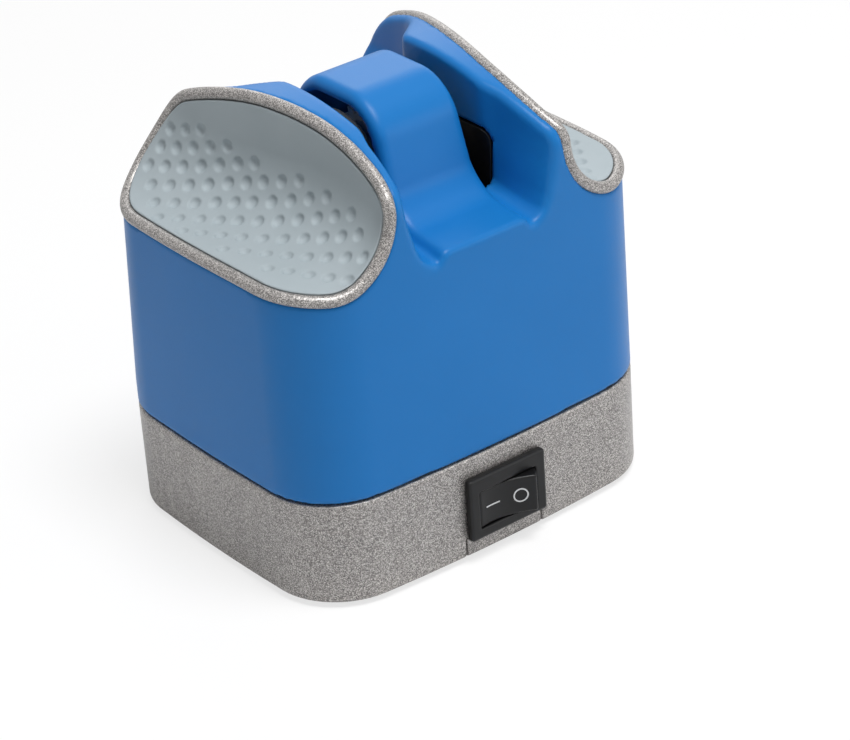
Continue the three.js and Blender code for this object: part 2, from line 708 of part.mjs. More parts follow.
// Bottom cover with the upright tab under the switch
const footPlaces = bosses.map(([sx, sy]) => [sx * footX, sy * footY]);
function bottomCover() {
  const low = footHeight + coverSink;
  const inset = trayInner + seatGap;
  let cover = planSolid([[inset, low], [inset, coverTop]]);
  const tab = planSolid([[0, footHeight], [0, tabTop]])
    .intersect(box(-tabHalf, tabHalf, -acrossY, inset + overrun - halfDepth, footHeight, tabTop));
  const tabStep = box(-tabHalf, tabHalf, inset + seatGap - halfDepth, acrossY, coverTop, tabTop + overrun);
  cover = cover.add(tab.subtract(tabStep));
  bosses.forEach(([sx, sy]) => {
    const at = [sx * bossX, sy * bossY, 0];
    cover = cover.subtract(rod(screwShank + seatGap, low - overrun, coverTop + overrun, "z", at, 12))
      .subtract(rod(screwHeadRadius + seatGap, low - overrun, low + screwHeadHeight, "z", at, 16));
  });
  footPlaces.forEach(([x, y]) => {
    cover = cover.subtract(rod(footStem + seatGap, low - overrun, coverTop + overrun, "z", [x, y, 0], 12));
  });
  return cover;
}
add("bottom_cover", bottomCover(), silverMaterial);

const cornerNames = ["front_left", "front_right", "back_left", "back_right"];
const screw = (axis, at, headAt, direction, length) => {
  const profile = [[0, 0], [screwHeadRadius, 0], [screwHeadRadius, screwHeadHeight - seatGap],
    [screwShank, screwHeadHeight - seatGap], [screwShank, length], [0, length]];
  return turned(profile.map(([r, t]) => [r, headAt + direction * t]), axis, at, 16);
};
cornerNames.forEach((name, i) => {
  const [sx, sy] = bosses[i];
  const head = footHeight + coverSink;
  add(`cover_screw_${name}`, screw("z", [sx * bossX, sy * bossY, 0], head, 1, screwLength),
    steelMaterial);
  const disc = footHeight + coverSink - seatGap;
  const [x, y] = footPlaces[i];
  add(`foot_${name}`, turned([[0, 0], [footRadius, 0], [footRadius, disc], [footStem, disc],
    [footStem, coverTop], [0, coverTop]], "z", [x, y, 0], 20), rubberMaterial);
});

// Rocker switch
const faceY = -halfDepth - seatGap;
const rockerAxisY = faceY + rockerAxisDepth;
const rockerFace = rockerAxisDepth + rockerCrown;
const rockerReach = Math.hypot(rockerHalfLength,
  rockerFace + rockerHalfLength * Math.tan(rockerTilt));
const wellHalf = rockerReach + seatGap;
const wellHalfHeight = rockerHalfHeight + seatGap;
function switchHousing() {
  const rim = (half, height, y) => rectangle(-half, half, switchHeight - height, switchHeight + height)
    .map(([x, z]) => new THREE.Vector3(x, y, z));
  const front = faceY - bezelDepth;
  const flange = loft([
    rim(bezelHalfLength - bezelChamfer, bezelHalfHeight - bezelChamfer, front),
    rim(bezelHalfLength, bezelHalfHeight, front + bezelChamfer),
    rim(bezelHalfLength, bezelHalfHeight, faceY),
  ], flatY);
  const body = box(-switchBodyHalf, switchBodyHalf, faceY - bezelDepth / 2,
    faceY + switchBodyDepth, switchHeight - switchBodyHalfHeight, switchHeight + switchBodyHalfHeight);
  const well = box(-wellHalf, wellHalf, front - overrun, faceY + rockerWellDepth,
    switchHeight - wellHalfHeight, switchHeight + wellHalfHeight);
  const mouth = wellHalfHeight + rockerTrunnionLength;
  const pivot = rod(rockerTrunnion + runGap, switchHeight - mouth, switchHeight + mouth, "z",
    [0, rockerAxisY, 0], 16);
  return flange.add(body).subtract(well).subtract(pivot);
}
add("switch_housing", switchHousing(), blackMaterial);
function rocker() {
  const tip = rockerFace + rockerHalfLength * Math.tan(rockerTilt);
  const heel = rockerHalfLength * 0.62;
  const outline = [[-rockerHalfLength, -tip], [0, -rockerFace], [rockerHalfLength, -tip],
    [rockerReach * 0.97, -rockerReach * 0.2], [heel, rockerAxisDepth], [-heel, rockerAxisDepth],
    [-rockerReach * 0.97, -rockerReach * 0.2]];
  const turn = (x, y) => new THREE.Vector2(x, y).rotateAround(new THREE.Vector2(), -rockerTilt);
  const placed = outline.map(([x, y]) => turn(x, y)).map((p) => [p.x, p.y + rockerAxisY]);
  const low = switchHeight - rockerHalfHeight;
  const high = switchHeight + rockerHalfHeight;
  const ends = rockerHalfHeight + rockerTrunnionLength;
  return prismZ(placed, low, high)
    .add(rod(rockerTrunnion, switchHeight - ends, switchHeight + ends, "z", [0, rockerAxisY, 0], 16));
}
add("switch_rocker", rocker(), blackMaterial);
[-1, 1].forEach((side) => {
  const x = (side * terminalPitch) / 2;
  const start = faceY + switchBodyDepth + seatGap;
  const blade = box(x - terminalThickness / 2, x + terminalThickness / 2, start,
    start + terminalLength, switchHeight - terminalWidth / 2, switchHeight + terminalWidth / 2);
  add(`switch_terminal_${side < 0 ? "left" : "right"}`, blade, brassMaterial);
});

// Gears
function gear(teeth, bore, half, phase, at, hub) {
  const pitch = (gearModule * teeth) / 2;
  const pressure = THREE.MathUtils.degToRad(20);
  const base = pitch * Math.cos(pressure);
  const tip = pitch + gearModule * 0.9;
  const root = pitch - gearModule * 1.25;
  const involute = (angle) => Math.tan(angle) - angle;
  const halfTooth = Math.PI / (2 * teeth) - gearBacklash / pitch / 2;
  const flankAngle = (radius) => halfTooth + involute(pressure)
    - involute(Math.acos(Math.min(base / radius, 1)));
  const start = Math.max(base, root + gearModule * 0.1);
  const radii = [start, pitch, tip];
  const outline = [];
  for (let i = 0; i < teeth; i += 1) {
    const middle = phase + (2 * Math.PI * i) / teeth;
    const flank = radii.map((r) => [r, flankAngle(r)]);
    const left = [[root, flank[0][1] + 0.02], ...flank].map(([r, a]) => [r, middle - a]);
    const right = [...flank.slice().reverse(), [root, flank[0][1] + 0.02]].map(([r, a]) => [r, middle + a]);
    [...left, ...right].forEach(([r, a]) =>
      outline.push([at[0] + r * Math.cos(a), at[1] + r * Math.sin(a)]));
  }
  const wheel = prismX(outline, -half, half);
  const boss = rod(hub, -half - runGap * 2, half + runGap * 2, "x", [0, at[0], at[1]], 20);
  const hole = rod(bore, -half - overrun, half + overrun, "x", [0, at[0], at[1]], 20);
  return wheel.add(boss).subtract(hole);
}
const idlerHeight = spindleHeight - (gearModule * (spindleTeeth + idlerTeeth)) / 2 - gearModule * 0.06;
const motorHeight = idlerHeight - (gearModule * (idlerTeeth + pinionTeeth)) / 2 - gearModule * 0.06;
const gearHalf = gearWidth / 2;
const spindleAt = [bridgeMiddle, spindleHeight];
const idlerAt = [bridgeMiddle, idlerHeight];
const motorAt = [bridgeMiddle, motorHeight];
const down = -Math.PI / 2;
const toothAngle = (teeth) => (2 * Math.PI) / teeth;
add("spindle_gear", gear(spindleTeeth, spindleRadius + runGap, gearHalf, down, spindleAt,
  spindleRadius * 1.9), whiteMaterial);
add("idler_gear", gear(idlerTeeth, idlerPinRadius + runGap, gearHalf,
  -down + toothAngle(idlerTeeth) / 2, idlerAt, idlerPinRadius * 2.2), whiteMaterial);
const idlerPhaseDown = -down + toothAngle(idlerTeeth) / 2;
const downShift = (((down - idlerPhaseDown) % toothAngle(idlerTeeth)) + toothAngle(idlerTeeth))
  % toothAngle(idlerTeeth);
const pinionPhase = -down + toothAngle(pinionTeeth) / 2
  + (downShift / toothAngle(idlerTeeth)) * toothAngle(pinionTeeth);
add("motor_pinion", gear(pinionTeeth, motorShaftRadius + runGap, gearHalf, pinionPhase, motorAt,
  motorShaftRadius * 2), brassMaterial);

// Gearbox plates with their foot flanges
const plateOuter = plateInner + plateThickness;
const spacerPlaces = [["front", bridgeMiddle - spacerSpread], ["back", bridgeMiddle + spacerSpread]];
function gearboxPlate(side) {
  const foot = coverTop + seatGap;
  const outline = rounded([
    [bridgeMiddle - plateFootHalf, foot, 0],
    [bridgeMiddle - plateFootHalf, motorHeight + motorRadius / 2, plateTopHalf],
    [bridgeMiddle - plateTopHalf, idlerHeight + plateTopHalf, plateTopHalf],
    [bridgeMiddle - plateTopHalf, spindleHeight + plateTopHalf, plateTopHalf * 0.98],
    [bridgeMiddle + plateTopHalf, spindleHeight + plateTopHalf, plateTopHalf * 0.98],
    [bridgeMiddle + plateTopHalf, idlerHeight + plateTopHalf, plateTopHalf],
    [bridgeMiddle + plateFootHalf, motorHeight + motorRadius / 2, plateTopHalf],
    [bridgeMiddle + plateFootHalf, foot, 0],
  ]);
  const near = side * plateInner;
  const far = side * plateOuter;
  const flangeEnd = side * (plateOuter + plateFlange);
  const hole = (radius, [y, z]) => rod(radius, near - side * overrun, far + side * overrun, "x",
    [0, y, z], 24);
  const window = prismX(rounded([
    [bridgeMiddle - plateWindowHalf * 2, foot + plateThickness * 3, plateWindowHalf / 2],
    [bridgeMiddle + plateWindowHalf * 2, foot + plateThickness * 3, plateWindowHalf / 2],
    [bridgeMiddle + plateWindowHalf * 2, foot + plateThickness * 3 + plateWindowHalf * 2,
      plateWindowHalf / 2],
    [bridgeMiddle - plateWindowHalf * 2, foot + plateThickness * 3 + plateWindowHalf * 2,
      plateWindowHalf / 2],
  ]), Math.min(near, far) - overrun, Math.max(near, far) + overrun);
  const flange = box(Math.min(near, flangeEnd), Math.max(near, flangeEnd),
    bridgeMiddle - plateFootHalf, bridgeMiddle + plateFootHalf, foot, foot + plateThickness);
  let plate = prismX(outline, near, far).add(flange).subtract(window)
    .subtract(hole(bushRadius + runGap, spindleAt)).subtract(hole(idlerPinRadius + runGap, idlerAt))
    .subtract(hole(motorBoss + runGap, motorAt));
  spacerPlaces.forEach(([, y]) => {
    plate = plate.subtract(hole(screwShank + runGap, [y, spacerHeight]));
  });
  return plate;
}
add("gearbox_plate_left", gearboxPlate(-1), steelMaterial);
add("gearbox_plate_right", gearboxPlate(1), steelMaterial);
spacerPlaces.forEach(([name, y]) => {
  const half = plateInner - seatGap;
  add(`gearbox_spacer_${name}`, tube(spacerRadius, screwShank + runGap, -half, half, "x",
    [0, y, spacerHeight], 16), brassMaterial);
  add(`gearbox_screw_${name}`, screw("x", [0, y, spacerHeight],
    -plateOuter - screwHeadHeight, 1, plateOuter * 2 + screwHeadHeight + runGap * 2), steelMaterial);
});

// Spindle, bushes and grinding wheels
const wheelStart = plateOuter + bushFlangeThickness + wheelStandoff;
const wheelRimEnd = wheelStart + wheelRim;
const wheelEnd = wheelRimEnd + (wheelRadius - wheelConeFoot) * Math.tan(wheelConeAngle);
add("spindle_shaft", rod(spindleRadius, -wheelEnd - seatGap, wheelEnd + seatGap, "x",
  [0, ...spindleAt], 20), steelMaterial);
["left", "right"].forEach((name, i) => {
  const side = i * 2 - 1;
  const flip = (profile) => profile.map(([r, t]) => [r, side * t]);
  const bushBore = spindleRadius + runGap;
  add(`spindle_bush_${name}`, turned(flip([[bushBore, plateInner], [bushRadius, plateInner],
    [bushRadius, plateOuter + runGap], [bushFlange, plateOuter + runGap],
    [bushFlange, plateOuter + runGap + bushFlangeThickness],
    [bushBore, plateOuter + runGap + bushFlangeThickness]]), "x", [0, ...spindleAt], 20), brassMaterial);
  add(`grinding_wheel_${name}`, turned(flip([[bushBore, wheelStart],
    [wheelRadius - wheelRim / 2, wheelStart], [wheelRadius, wheelStart + wheelRim / 2],
    [wheelRadius, wheelRimEnd], [wheelConeFoot, wheelEnd], [bushBore, wheelEnd]]),
  "x", [0, ...spindleAt], 40), abrasiveMaterial);
});
const pinHead = idlerPinRadius * 1.6;
add("idler_pin", turned([[0, -plateOuter - screwHeadHeight], [pinHead, -plateOuter - screwHeadHeight],
  [pinHead, -plateOuter - runGap], [idlerPinRadius, -plateOuter - runGap],
  [idlerPinRadius, plateOuter + runGap], [0, plateOuter + runGap]], "x", [0, ...idlerAt], 20),
steelMaterial);

// Motor
const canStart = plateOuter + seatGap;
const canEnd = canStart + motorLength;
const shaftBore = motorShaftRadius + runGap;
add("motor_can", turned([[shaftBore, plateInner + seatGap], [motorBoss, plateInner + seatGap],
  [motorBoss, canStart], [motorRadius - motorRound, canStart], [motorRadius, canStart + motorRound],
  [motorRadius, canEnd], [shaftBore, canEnd]], "x", [0, ...motorAt], 32), steelMaterial);
const bellStart = canEnd + seatGap;
add("motor_end_bell", turned([[shaftBore, bellStart], [motorRadius, bellStart],
  [motorRadius, bellStart + endBellLength - endBellRound],
  [motorRadius - endBellRound, bellStart + endBellLength], [shaftBore, bellStart + endBellLength]],
"x", [0, ...motorAt], 32), blackMaterial);
add("motor_shaft", rod(motorShaftRadius, -gearHalf - seatGap, bellStart + endBellLength + overrun, "x",
  [0, ...motorAt], 16), steelMaterial);

// Blade guides under the slots
const guideTop = grooveHeight - housingWall - seatGap;
function bladeGuide() {
  const slope = guideDepth * Math.tan(guideAngle);
  const outer = recessHalf + guideWall;
  const low = guideTop - guideDepth - guideFloor;
  return prismY([[recessHalf, guideTop], [outer, guideTop], [outer, low], [slotInner, low],
    [slotInner, guideTop - guideDepth], [recessHalf - slope, guideTop - guideDepth]],
  recessFront, recessBack);
}
add("blade_guide_left", mirrorX(bladeGuide()), blackMaterial);
add("blade_guide_right", bladeGuide(), blackMaterial);
function slotLiner() {
  return prismX(linerOutline(0, guideTop + seatGap), recessHalf, recessHalf + housingWall - seatGap)
    .subtract(recess(0));
}
const liner = lean(slotLiner());
add("slot_liner_left", mirrorX(liner), blackMaterial);
add("slot_liner_right", liner, blackMaterial);

// Power inlet in the back of the base
function powerInlet() {
  const out = inletY + inletFlangeThickness + seatGap;
  const barrel = turned([[0, out - inletLength], [inletRadius, out - inletLength],
    [inletRadius, out - inletFlangeThickness], [inletFlange, out - inletFlangeThickness],
    [inletFlange, out], [inletBore, out], [inletBore, out - inletLength * 0.8],
    [inletPin, out - inletLength * 0.8], [inletPin, out - inletFlangeThickness],
    [0, out - inletFlangeThickness]], "y", [inletX, 0, inletHeight], 24);
  return barrel;
}
add("power_inlet", powerInlet(), blackMaterial);

// Circuit board, standing on the cover
add("circuit_board", box(boardX - boardLength / 2, boardX + boardLength / 2, boardY,
  boardY + boardThickness, coverTop + seatGap, coverTop + seatGap + boardHeight), boardMaterial);
add("capacitor", rod(capacitorRadius, boardY - capacitorLength - seatGap, boardY - seatGap, "y",
  [boardX, 0, coverTop + boardHeight / 2], 20), blackMaterial);

// The modelling axes run through the middle of the housing. The switch stands out at the front,
// so the finished object is moved along Y until its outer box is centred on the origin.
const bounds = new THREE.Box3().setFromObject(object);
export const centring = -(bounds.min.y + bounds.max.y) / 2;
object.children.forEach((piece) => piece.geometry.translate(0, centring, 0));

export default object;
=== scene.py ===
import json
import math

import bmesh
import bpy
import numpy as np
from mathutils import Matrix, Vector

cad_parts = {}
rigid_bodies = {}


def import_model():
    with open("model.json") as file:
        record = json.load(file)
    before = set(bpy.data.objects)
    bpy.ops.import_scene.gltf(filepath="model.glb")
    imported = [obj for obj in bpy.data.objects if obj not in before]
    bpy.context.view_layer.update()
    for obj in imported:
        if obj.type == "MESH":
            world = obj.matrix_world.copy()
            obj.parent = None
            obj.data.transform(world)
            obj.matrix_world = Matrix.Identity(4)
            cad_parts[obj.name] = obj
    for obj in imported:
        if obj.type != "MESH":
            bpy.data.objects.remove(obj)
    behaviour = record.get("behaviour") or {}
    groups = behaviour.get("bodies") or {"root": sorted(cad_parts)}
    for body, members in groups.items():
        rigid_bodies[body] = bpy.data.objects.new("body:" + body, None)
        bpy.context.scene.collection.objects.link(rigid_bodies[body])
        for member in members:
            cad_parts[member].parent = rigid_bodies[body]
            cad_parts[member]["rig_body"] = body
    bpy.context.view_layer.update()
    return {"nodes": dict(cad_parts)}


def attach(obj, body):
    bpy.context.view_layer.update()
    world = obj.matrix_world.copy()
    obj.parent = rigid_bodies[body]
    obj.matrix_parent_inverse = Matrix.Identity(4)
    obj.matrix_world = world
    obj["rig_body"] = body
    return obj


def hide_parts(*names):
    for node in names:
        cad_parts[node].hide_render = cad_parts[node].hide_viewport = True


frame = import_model()
nodes = frame["nodes"]
mm = 0.001


# The camera stands to the left of the switch, 0.7 m away, and looks down on the sharpener through
# a long lens, held a few degrees askew. Aside and above put the aim off the picture's middle.
camera_azimuth = math.radians(36.4786)
camera_elevation = math.radians(29.2302)
camera_roll = math.radians(4.1914)
camera_distance = 706.1388 * mm
camera_aim = Vector((0, 4.2725 * mm, 51.2 * mm))
camera_aside = -10.4826 * mm
camera_above = 22.3697 * mm
lens_pixels = 3221.6364
picture_pixels = 850
sensor_width = 36
near_clip = 10 * mm

back = Vector((-math.sin(camera_azimuth) * math.cos(camera_elevation),
               -math.cos(camera_azimuth) * math.cos(camera_elevation),
               math.sin(camera_elevation)))
right = Vector((math.cos(camera_azimuth), -math.sin(camera_azimuth), 0))
up = back.cross(right)
camera_place = camera_aim + back * camera_distance - right * camera_aside - up * camera_above
rolled_right = right * math.cos(camera_roll) - up * math.sin(camera_roll)
rolled_up = right * math.sin(camera_roll) + up * math.cos(camera_roll)
camera = bpy.data.objects.new("camera", bpy.data.cameras.new("camera"))
bpy.context.scene.collection.objects.link(camera)
camera.matrix_world = Matrix((
    (rolled_right.x, rolled_up.x, back.x, camera_place.x),
    (rolled_right.y, rolled_up.y, back.y, camera_place.y),
    (rolled_right.z, rolled_up.z, back.z, camera_place.z),
    (0, 0, 0, 1)))
camera.data.sensor_width = sensor_width
camera.data.lens = lens_pixels * sensor_width / picture_pixels
camera.data.clip_start = near_clip
bpy.context.scene.camera = camera
bpy.context.scene.view_settings.view_transform = "Standard"


# The studio is a white sweep, which the camera and shiny surfaces see as plain white. One soft
# lamp hangs overhead, a weaker one stands low at the right front and a third behind on the right.
sky_level, floor_glow = 0.3, 0.72
floor_half, lamp_aim = 3, Vector((0, 0, 0.05))
mix_first, mix_second, mix_result = 6, 7, 2


class Wire:
    """A socket in a material. Arithmetic on it adds Math nodes."""

    def __init__(self, finish, socket):
        self.finish = finish
        self.socket = socket

    def math_node(self, operation, other):
        return self.finish.node("ShaderNodeMath", {"operation": operation}, [self, other])

    def __add__(self, other):
        return self.math_node("ADD", other)

    __radd__ = __add__

    def __mul__(self, other):
        return self.math_node("MULTIPLY", other)

    __rmul__ = __mul__

    def most(self, other):
        return self.math_node("MAXIMUM", other)


class Finish:
    """A material, or the world, while it is put together."""

    def __init__(self, name, tree=None, **shader_values):
        if tree is None:
            self.material = bpy.data.materials.new(name)
            self.material.use_nodes = True
            tree = self.material.node_tree
            self.shader = tree.nodes["Principled BSDF"]
            for socket, value in shader_values.items():
                self.shader.inputs[socket.replace("_", " ")].default_value = value
        self.tree = tree

    def node(self, kind, settings, sockets, output=0):
        """A node with these settings and these values or links of its sockets, as a Wire."""
        made = self.tree.nodes.new(kind)
        for key, value in settings.items():
            setattr(made, key, value)
        for key, value in sockets.items() if isinstance(sockets, dict) else enumerate(sockets):
            if isinstance(value, Wire):
                self.tree.links.new(value.socket, made.inputs[key])
            else:
                made.inputs[key].default_value = value
        return Wire(self, made.outputs[output])

    def feed(self, socket, wire):
        self.tree.links.new(wire.socket, self.shader.inputs[socket])

    def place(self):
        return self.node("ShaderNodeTexCoord", {}, {}, "Object")

    def noise(self, size, detail=2.0, roughness=0.5):
        """Noise whose lumps are about this many millimetres across."""
        return self.node("ShaderNodeTexNoise", {}, {
            "Vector": self.place(), "Scale": 1 / (size * mm), "Detail": detail,
            "Roughness": roughness}, "Fac")

    def blend(self, amount, low, high):
        """A mix of two screen colours."""
        return self.node("ShaderNodeMix", {"data_type": "RGBA"},
                         {"Factor": amount, mix_first: colour(*low), mix_second: colour(*high)},
                         mix_result)

    def tint(self, size, low, high):
        """A base colour that drifts between two screen colours over this many millimetres."""
        self.feed("Base Color", self.blend(self.noise(size), low, high))

    def grain(self, height, depth):
        """A relief of this depth in millimetres in the surface."""
        self.feed("Normal", self.node("ShaderNodeBump", {}, {
            "Height": height, "Distance": depth * mm, "Strength": 1}))


def colour(red, green, blue):
    """A colour given as 0 to 255 on a screen, in the linear values that nodes take."""
    def linear(c):
        c /= 255
        return c / 12.92 if c <= 0.04045 else ((c + 0.055) / 1.055) ** 2.4
    return (linear(red), linear(green), linear(blue), 1)


world = bpy.data.worlds.new("studio")
bpy.context.scene.world = world
world.use_nodes = True
sky = Finish("studio", world.node_tree)
light_path = sky.tree.nodes.new("ShaderNodeLightPath")
camera_ray, glossy_ray, clear_ray = [
    Wire(sky, light_path.outputs[name]) for name in
    ("Is Camera Ray", "Is Glossy Ray", "Is Transmission Ray")]
seen = camera_ray.most(glossy_ray).most(clear_ray)
background = sky.tree.nodes["Background"]
background.inputs["Color"].default_value = (1, 1, 1, 1)
sky.tree.links.new((seen * (1 - sky_level) + sky_level).socket, background.inputs["Strength"])

floor_mesh = bpy.data.meshes.new("floor")
floor_mesh.from_pydata([(-floor_half, -floor_half, 0), (floor_half, -floor_half, 0),
                        (floor_half, floor_half, 0), (-floor_half, floor_half, 0)],
                       [], [(0, 1, 2, 3)])
floor = bpy.data.objects.new("floor", floor_mesh)
bpy.context.scene.collection.objects.link(floor)
floor_finish = Finish("floor_white", Base_Color=colour(244, 244, 244), Roughness=0.9)
glow = floor_finish.node("ShaderNodeEmission", {}, {"Color": (1, 1, 1, 1), "Strength": 1.0})
floor_path = floor_finish.tree.nodes.new("ShaderNodeLightPath")
floor_mix = floor_finish.node("ShaderNodeMixShader", {}, [
    Wire(floor_finish, floor_path.outputs["Is Camera Ray"]) * floor_glow,
    Wire(floor_finish, floor_finish.shader.outputs[0]), glow])
floor_finish.tree.links.new(
    floor_mix.socket, floor_finish.tree.nodes["Material Output"].inputs["Surface"])
floor_mesh.materials.append(floor_finish.material)


def soft_box(name, direction, distance, size, power):
    """A round lamp that looks at the sharpener, with its sizes in metres and power in watts."""
    lamp = bpy.data.objects.new(name, bpy.data.lights.new(name, "AREA"))
    lamp.data.shape = "DISK"
    lamp.data.size = size
    lamp.data.energy = power
    lamp.location = lamp_aim + Vector(direction).normalized() * distance
    lamp.rotation_euler = (lamp.location - lamp_aim).to_track_quat("Z", "Y").to_euler()
    bpy.context.scene.collection.objects.link(lamp)


soft_box("key_light", (0.02, -0.3, 1.0), 0.9, 0.4, 7.4)
soft_box("front_light", (0.75, -1.0, 0.35), 1.0, 0.5, 1.5)
soft_box("back_light", (0.52, 0.7, 0.55), 1.0, 0.6, 1.6)


# The blue upper housing is one moulded shell of dyed plastic with soft edges and a fine
# spark-eroded skin. It clips over the lip of the base and is held by four screws from below.
# Sizes are in millimetres round the middle of the base plate; centring moves them to the frame.
centring = 2.022462844848633
half_length, half_depth, corner_radius, front_bow, end_bow = 48.2, 40.4, 17.2, 2.6, 1.6
wall_thickness, draft = 2.4, 0.006
base_top, body_bottom, crest = 25.2, 25.8, 101.7
body_height = crest - body_bottom
lean, lean_start = 0.085, 30.8
arch_radius, arch_offset = 80, 1.2
front_shoulder, back_shoulder = 2.7, 12.3


def rounded_max(a, b, radius):
    """The greater of two fields, with the edge where they meet rounded."""
    edge = np.hypot(np.maximum(a + radius, 0), np.maximum(b + radius, 0))
    return np.minimum(np.maximum(a, b), -radius) + edge


def rounded_min(a, b, radius):
    return -rounded_max(-a, -b, radius)


front_arc = (half_length ** 2 + front_bow ** 2) / (2 * front_bow)
end_arc = (half_depth ** 2 + end_bow ** 2) / (2 * end_bow)
front_centre = np.array([0, half_depth - front_arc])
end_centre = np.array([half_length - end_arc, 0])


def corner_place():
    """The centre of the corner arc that touches the bowed front and the bowed end."""
    to_front, to_end = front_arc - corner_radius, end_arc - corner_radius
    span = end_centre - front_centre
    length = np.hypot(*span)
    along = (to_front ** 2 - to_end ** 2 + length ** 2) / (2 * length)
    unit = span / length
    side = np.array([-unit[1], unit[0]]) * math.sqrt(to_front ** 2 - along ** 2)
    choice = [front_centre + unit * along + side, front_centre + unit * along - side]
    return next(p for p in choice if p[0] > 0 and p[1] > 0)


corner = corner_place()


def plan(x, y):
    """How far a point is outside the outline seen from above."""
    x, y = np.abs(x), np.abs(y)
    fx, fy = front_centre
    ex, ey = end_centre
    cx, cy = corner
    sides = np.maximum(np.hypot(x - fx, y - fy) - front_arc, np.hypot(x - ex, y - ey) - end_arc)
    past_front = (cx - fx) * (y - fy) - (cy - fy) * (x - fx) < 0
    past_end = (cx - ex) * (y - ey) - (cy - ey) * (x - ex) > 0
    return np.where(past_front & past_end, np.hypot(x - cx, y - cy) - corner_radius, sides)


def upright(y, z):
    """Takes back the forward lean of the rear wall."""
    return np.where(y > 0, y / (1 - lean * np.maximum(z - lean_start, 0) / half_depth), y)


def walls(x, y, z):
    return plan(x, y) + draft * np.maximum(z - base_top, 0)


def housing(x, y, z):
    """The walls closed by the arched roof, as if nothing were cut out of them."""
    arch = np.hypot(y - arch_offset, z - (crest - arch_radius)) - arch_radius
    return rounded_max(walls(x, y, z), arch, np.where(y < 0, front_shoulder, back_shoulder))


def eased(places, values, reach, samples=800):
    """A smooth curve through stations, for a size that changes along the object."""
    fine = np.linspace(places[0] - 2 * reach, places[-1] + 2 * reach, samples)
    steps = max(int(reach / (fine[1] - fine[0])), 1)
    window = np.hanning(2 * steps + 3)[1:-1]
    padded = np.pad(np.interp(fine, places, values), steps, mode="edge")
    smooth = np.convolve(padded, window / window.sum(), mode="valid")
    return lambda at: np.interp(at, fine, smooth)


recess_half, recess_mouth_half, mouth_flare, back_flare, mouth_rise = 15.3, 14.6, 5.7, 10.6, 15
groove = body_bottom + body_height * 0.66
groove_mouth = body_bottom + body_height * 0.626
scoop_radius = body_height * 0.2108
scoop_floor = body_bottom + body_height * 0.639
# Each station is a place as a share of the half depth, how far out the scoop's wall stands as a
# share of the lobe, and its bend and the drop of its floor as shares of the scoop's radius.
scoop_stations = np.array([
    [-1.1, 0.26, 1, 0.13], [-0.97, 0.252, 1, 0.11], [-0.9, 0.21, 1, 0.09], [-0.8, 0.185, 1, 0.05],
    [-0.6, 0.17, 1, 0.01], [-0.4, 0.178, 1, 0], [-0.2, 0.213, 1, 0], [0, 0.258, 1, 0],
    [0.2, 0.303, 1, 0], [0.4, 0.36, 1.08, 0], [0.6, 0.395, 1.2, 0], [0.8, 0.41, 1.33, 0],
    [1.1, 0.42, 1.4, 0]])
scoop_wall, scoop_bend, scoop_drop = [
    eased(scoop_stations[:, 0] * half_depth, scoop_stations[:, k], 5.0) for k in (1, 2, 3)]


def scoop_sizes(y):
    """The bend, the upright wall and the floor of the grip scoop at this depth."""
    radius = scoop_radius * scoop_bend(y)
    wall = recess_half + (half_length - recess_half) * scoop_wall(y)
    return radius, wall, scoop_floor - scoop_radius * scoop_drop(y)


def scoop(x, y, z):
    """Negative in the open air of the scoop."""
    radius, wall, floor = scoop_sizes(y)
    return rounded_max(wall - np.abs(x), floor - z, radius)


# The recess opens towards the front and the back by these shares of its flares, and its sides
# lean out by more of the flare the higher they are.
recess_shares = [-1.05, -1, -0.9, -0.74, -0.61, -0.57, -0.507,
                 0.16, 0.235, 0.3, 0.36, 0.45, 0.6, 0.8, 1, 1.05]
recess_open = [1, 1, 0.72, 0.46, 0.3, 0.2, 0, 0, 0.3, 0.55, 0.73, 0.87, 0.94, 0.97, 1, 1]
flare = eased(np.array(recess_shares) * half_depth,
              [share * (mouth_flare if place < 0 else back_flare)
               for place, share in zip(recess_shares, recess_open)], 3.0)
flare_rise = eased(np.array([-0.3, 0, 0.1, 0.28, 0.45, 0.75, 1, 1.3]),
                   [0, 0, 0.24, 0.5, 0.64, 0.88, 1, 1], 0.08)
recess_front, recess_back = -0.507 * half_depth, 0.16 * half_depth
recess_bend = 2.0


def recess(x, y, z):
    """Negative in the open air between the two lobes."""
    out = np.where(y < 0, (recess_front - y) / (half_depth + recess_front),
                   (y - recess_back) / (half_depth - recess_back))
    out = np.maximum(out, 0)
    half = recess_half + np.where(y < 0, (recess_mouth_half - recess_half) * out, 0)
    floor = groove + (groove_mouth - groove) * out
    side = np.abs(x) - half - flare(y) * flare_rise((z - floor) / mouth_rise)
    return rounded_max(side, floor - z, recess_bend)


bridge_middle, bridge_top = -0.101 * half_depth, crest - 0.2
bridge_top_half, bridge_foot_half = 0.34 * half_depth, 0.504 * half_depth
bridge_foot = body_bottom + body_height * 0.677
tongue_mouth = body_bottom + body_height * 0.648
tongue_end = half_depth + 2
bridge_half_top, bridge_half_foot = 10.5, 11.7
bridge_shoulder, bridge_fillet, bridge_edge = 8.5, 6.0, 2.2
slope = np.array([bridge_top - bridge_foot, bridge_foot_half - bridge_top_half])
slope = slope / np.hypot(*slope)


def hump(y, z, inset, shoulder):
    """The side profile of the bridge over the wheels."""
    out = np.abs(y - bridge_middle) - bridge_foot_half
    side = slope[0] * out + slope[1] * (z - bridge_foot) + inset
    return rounded_max(side, z - bridge_top + inset, shoulder)


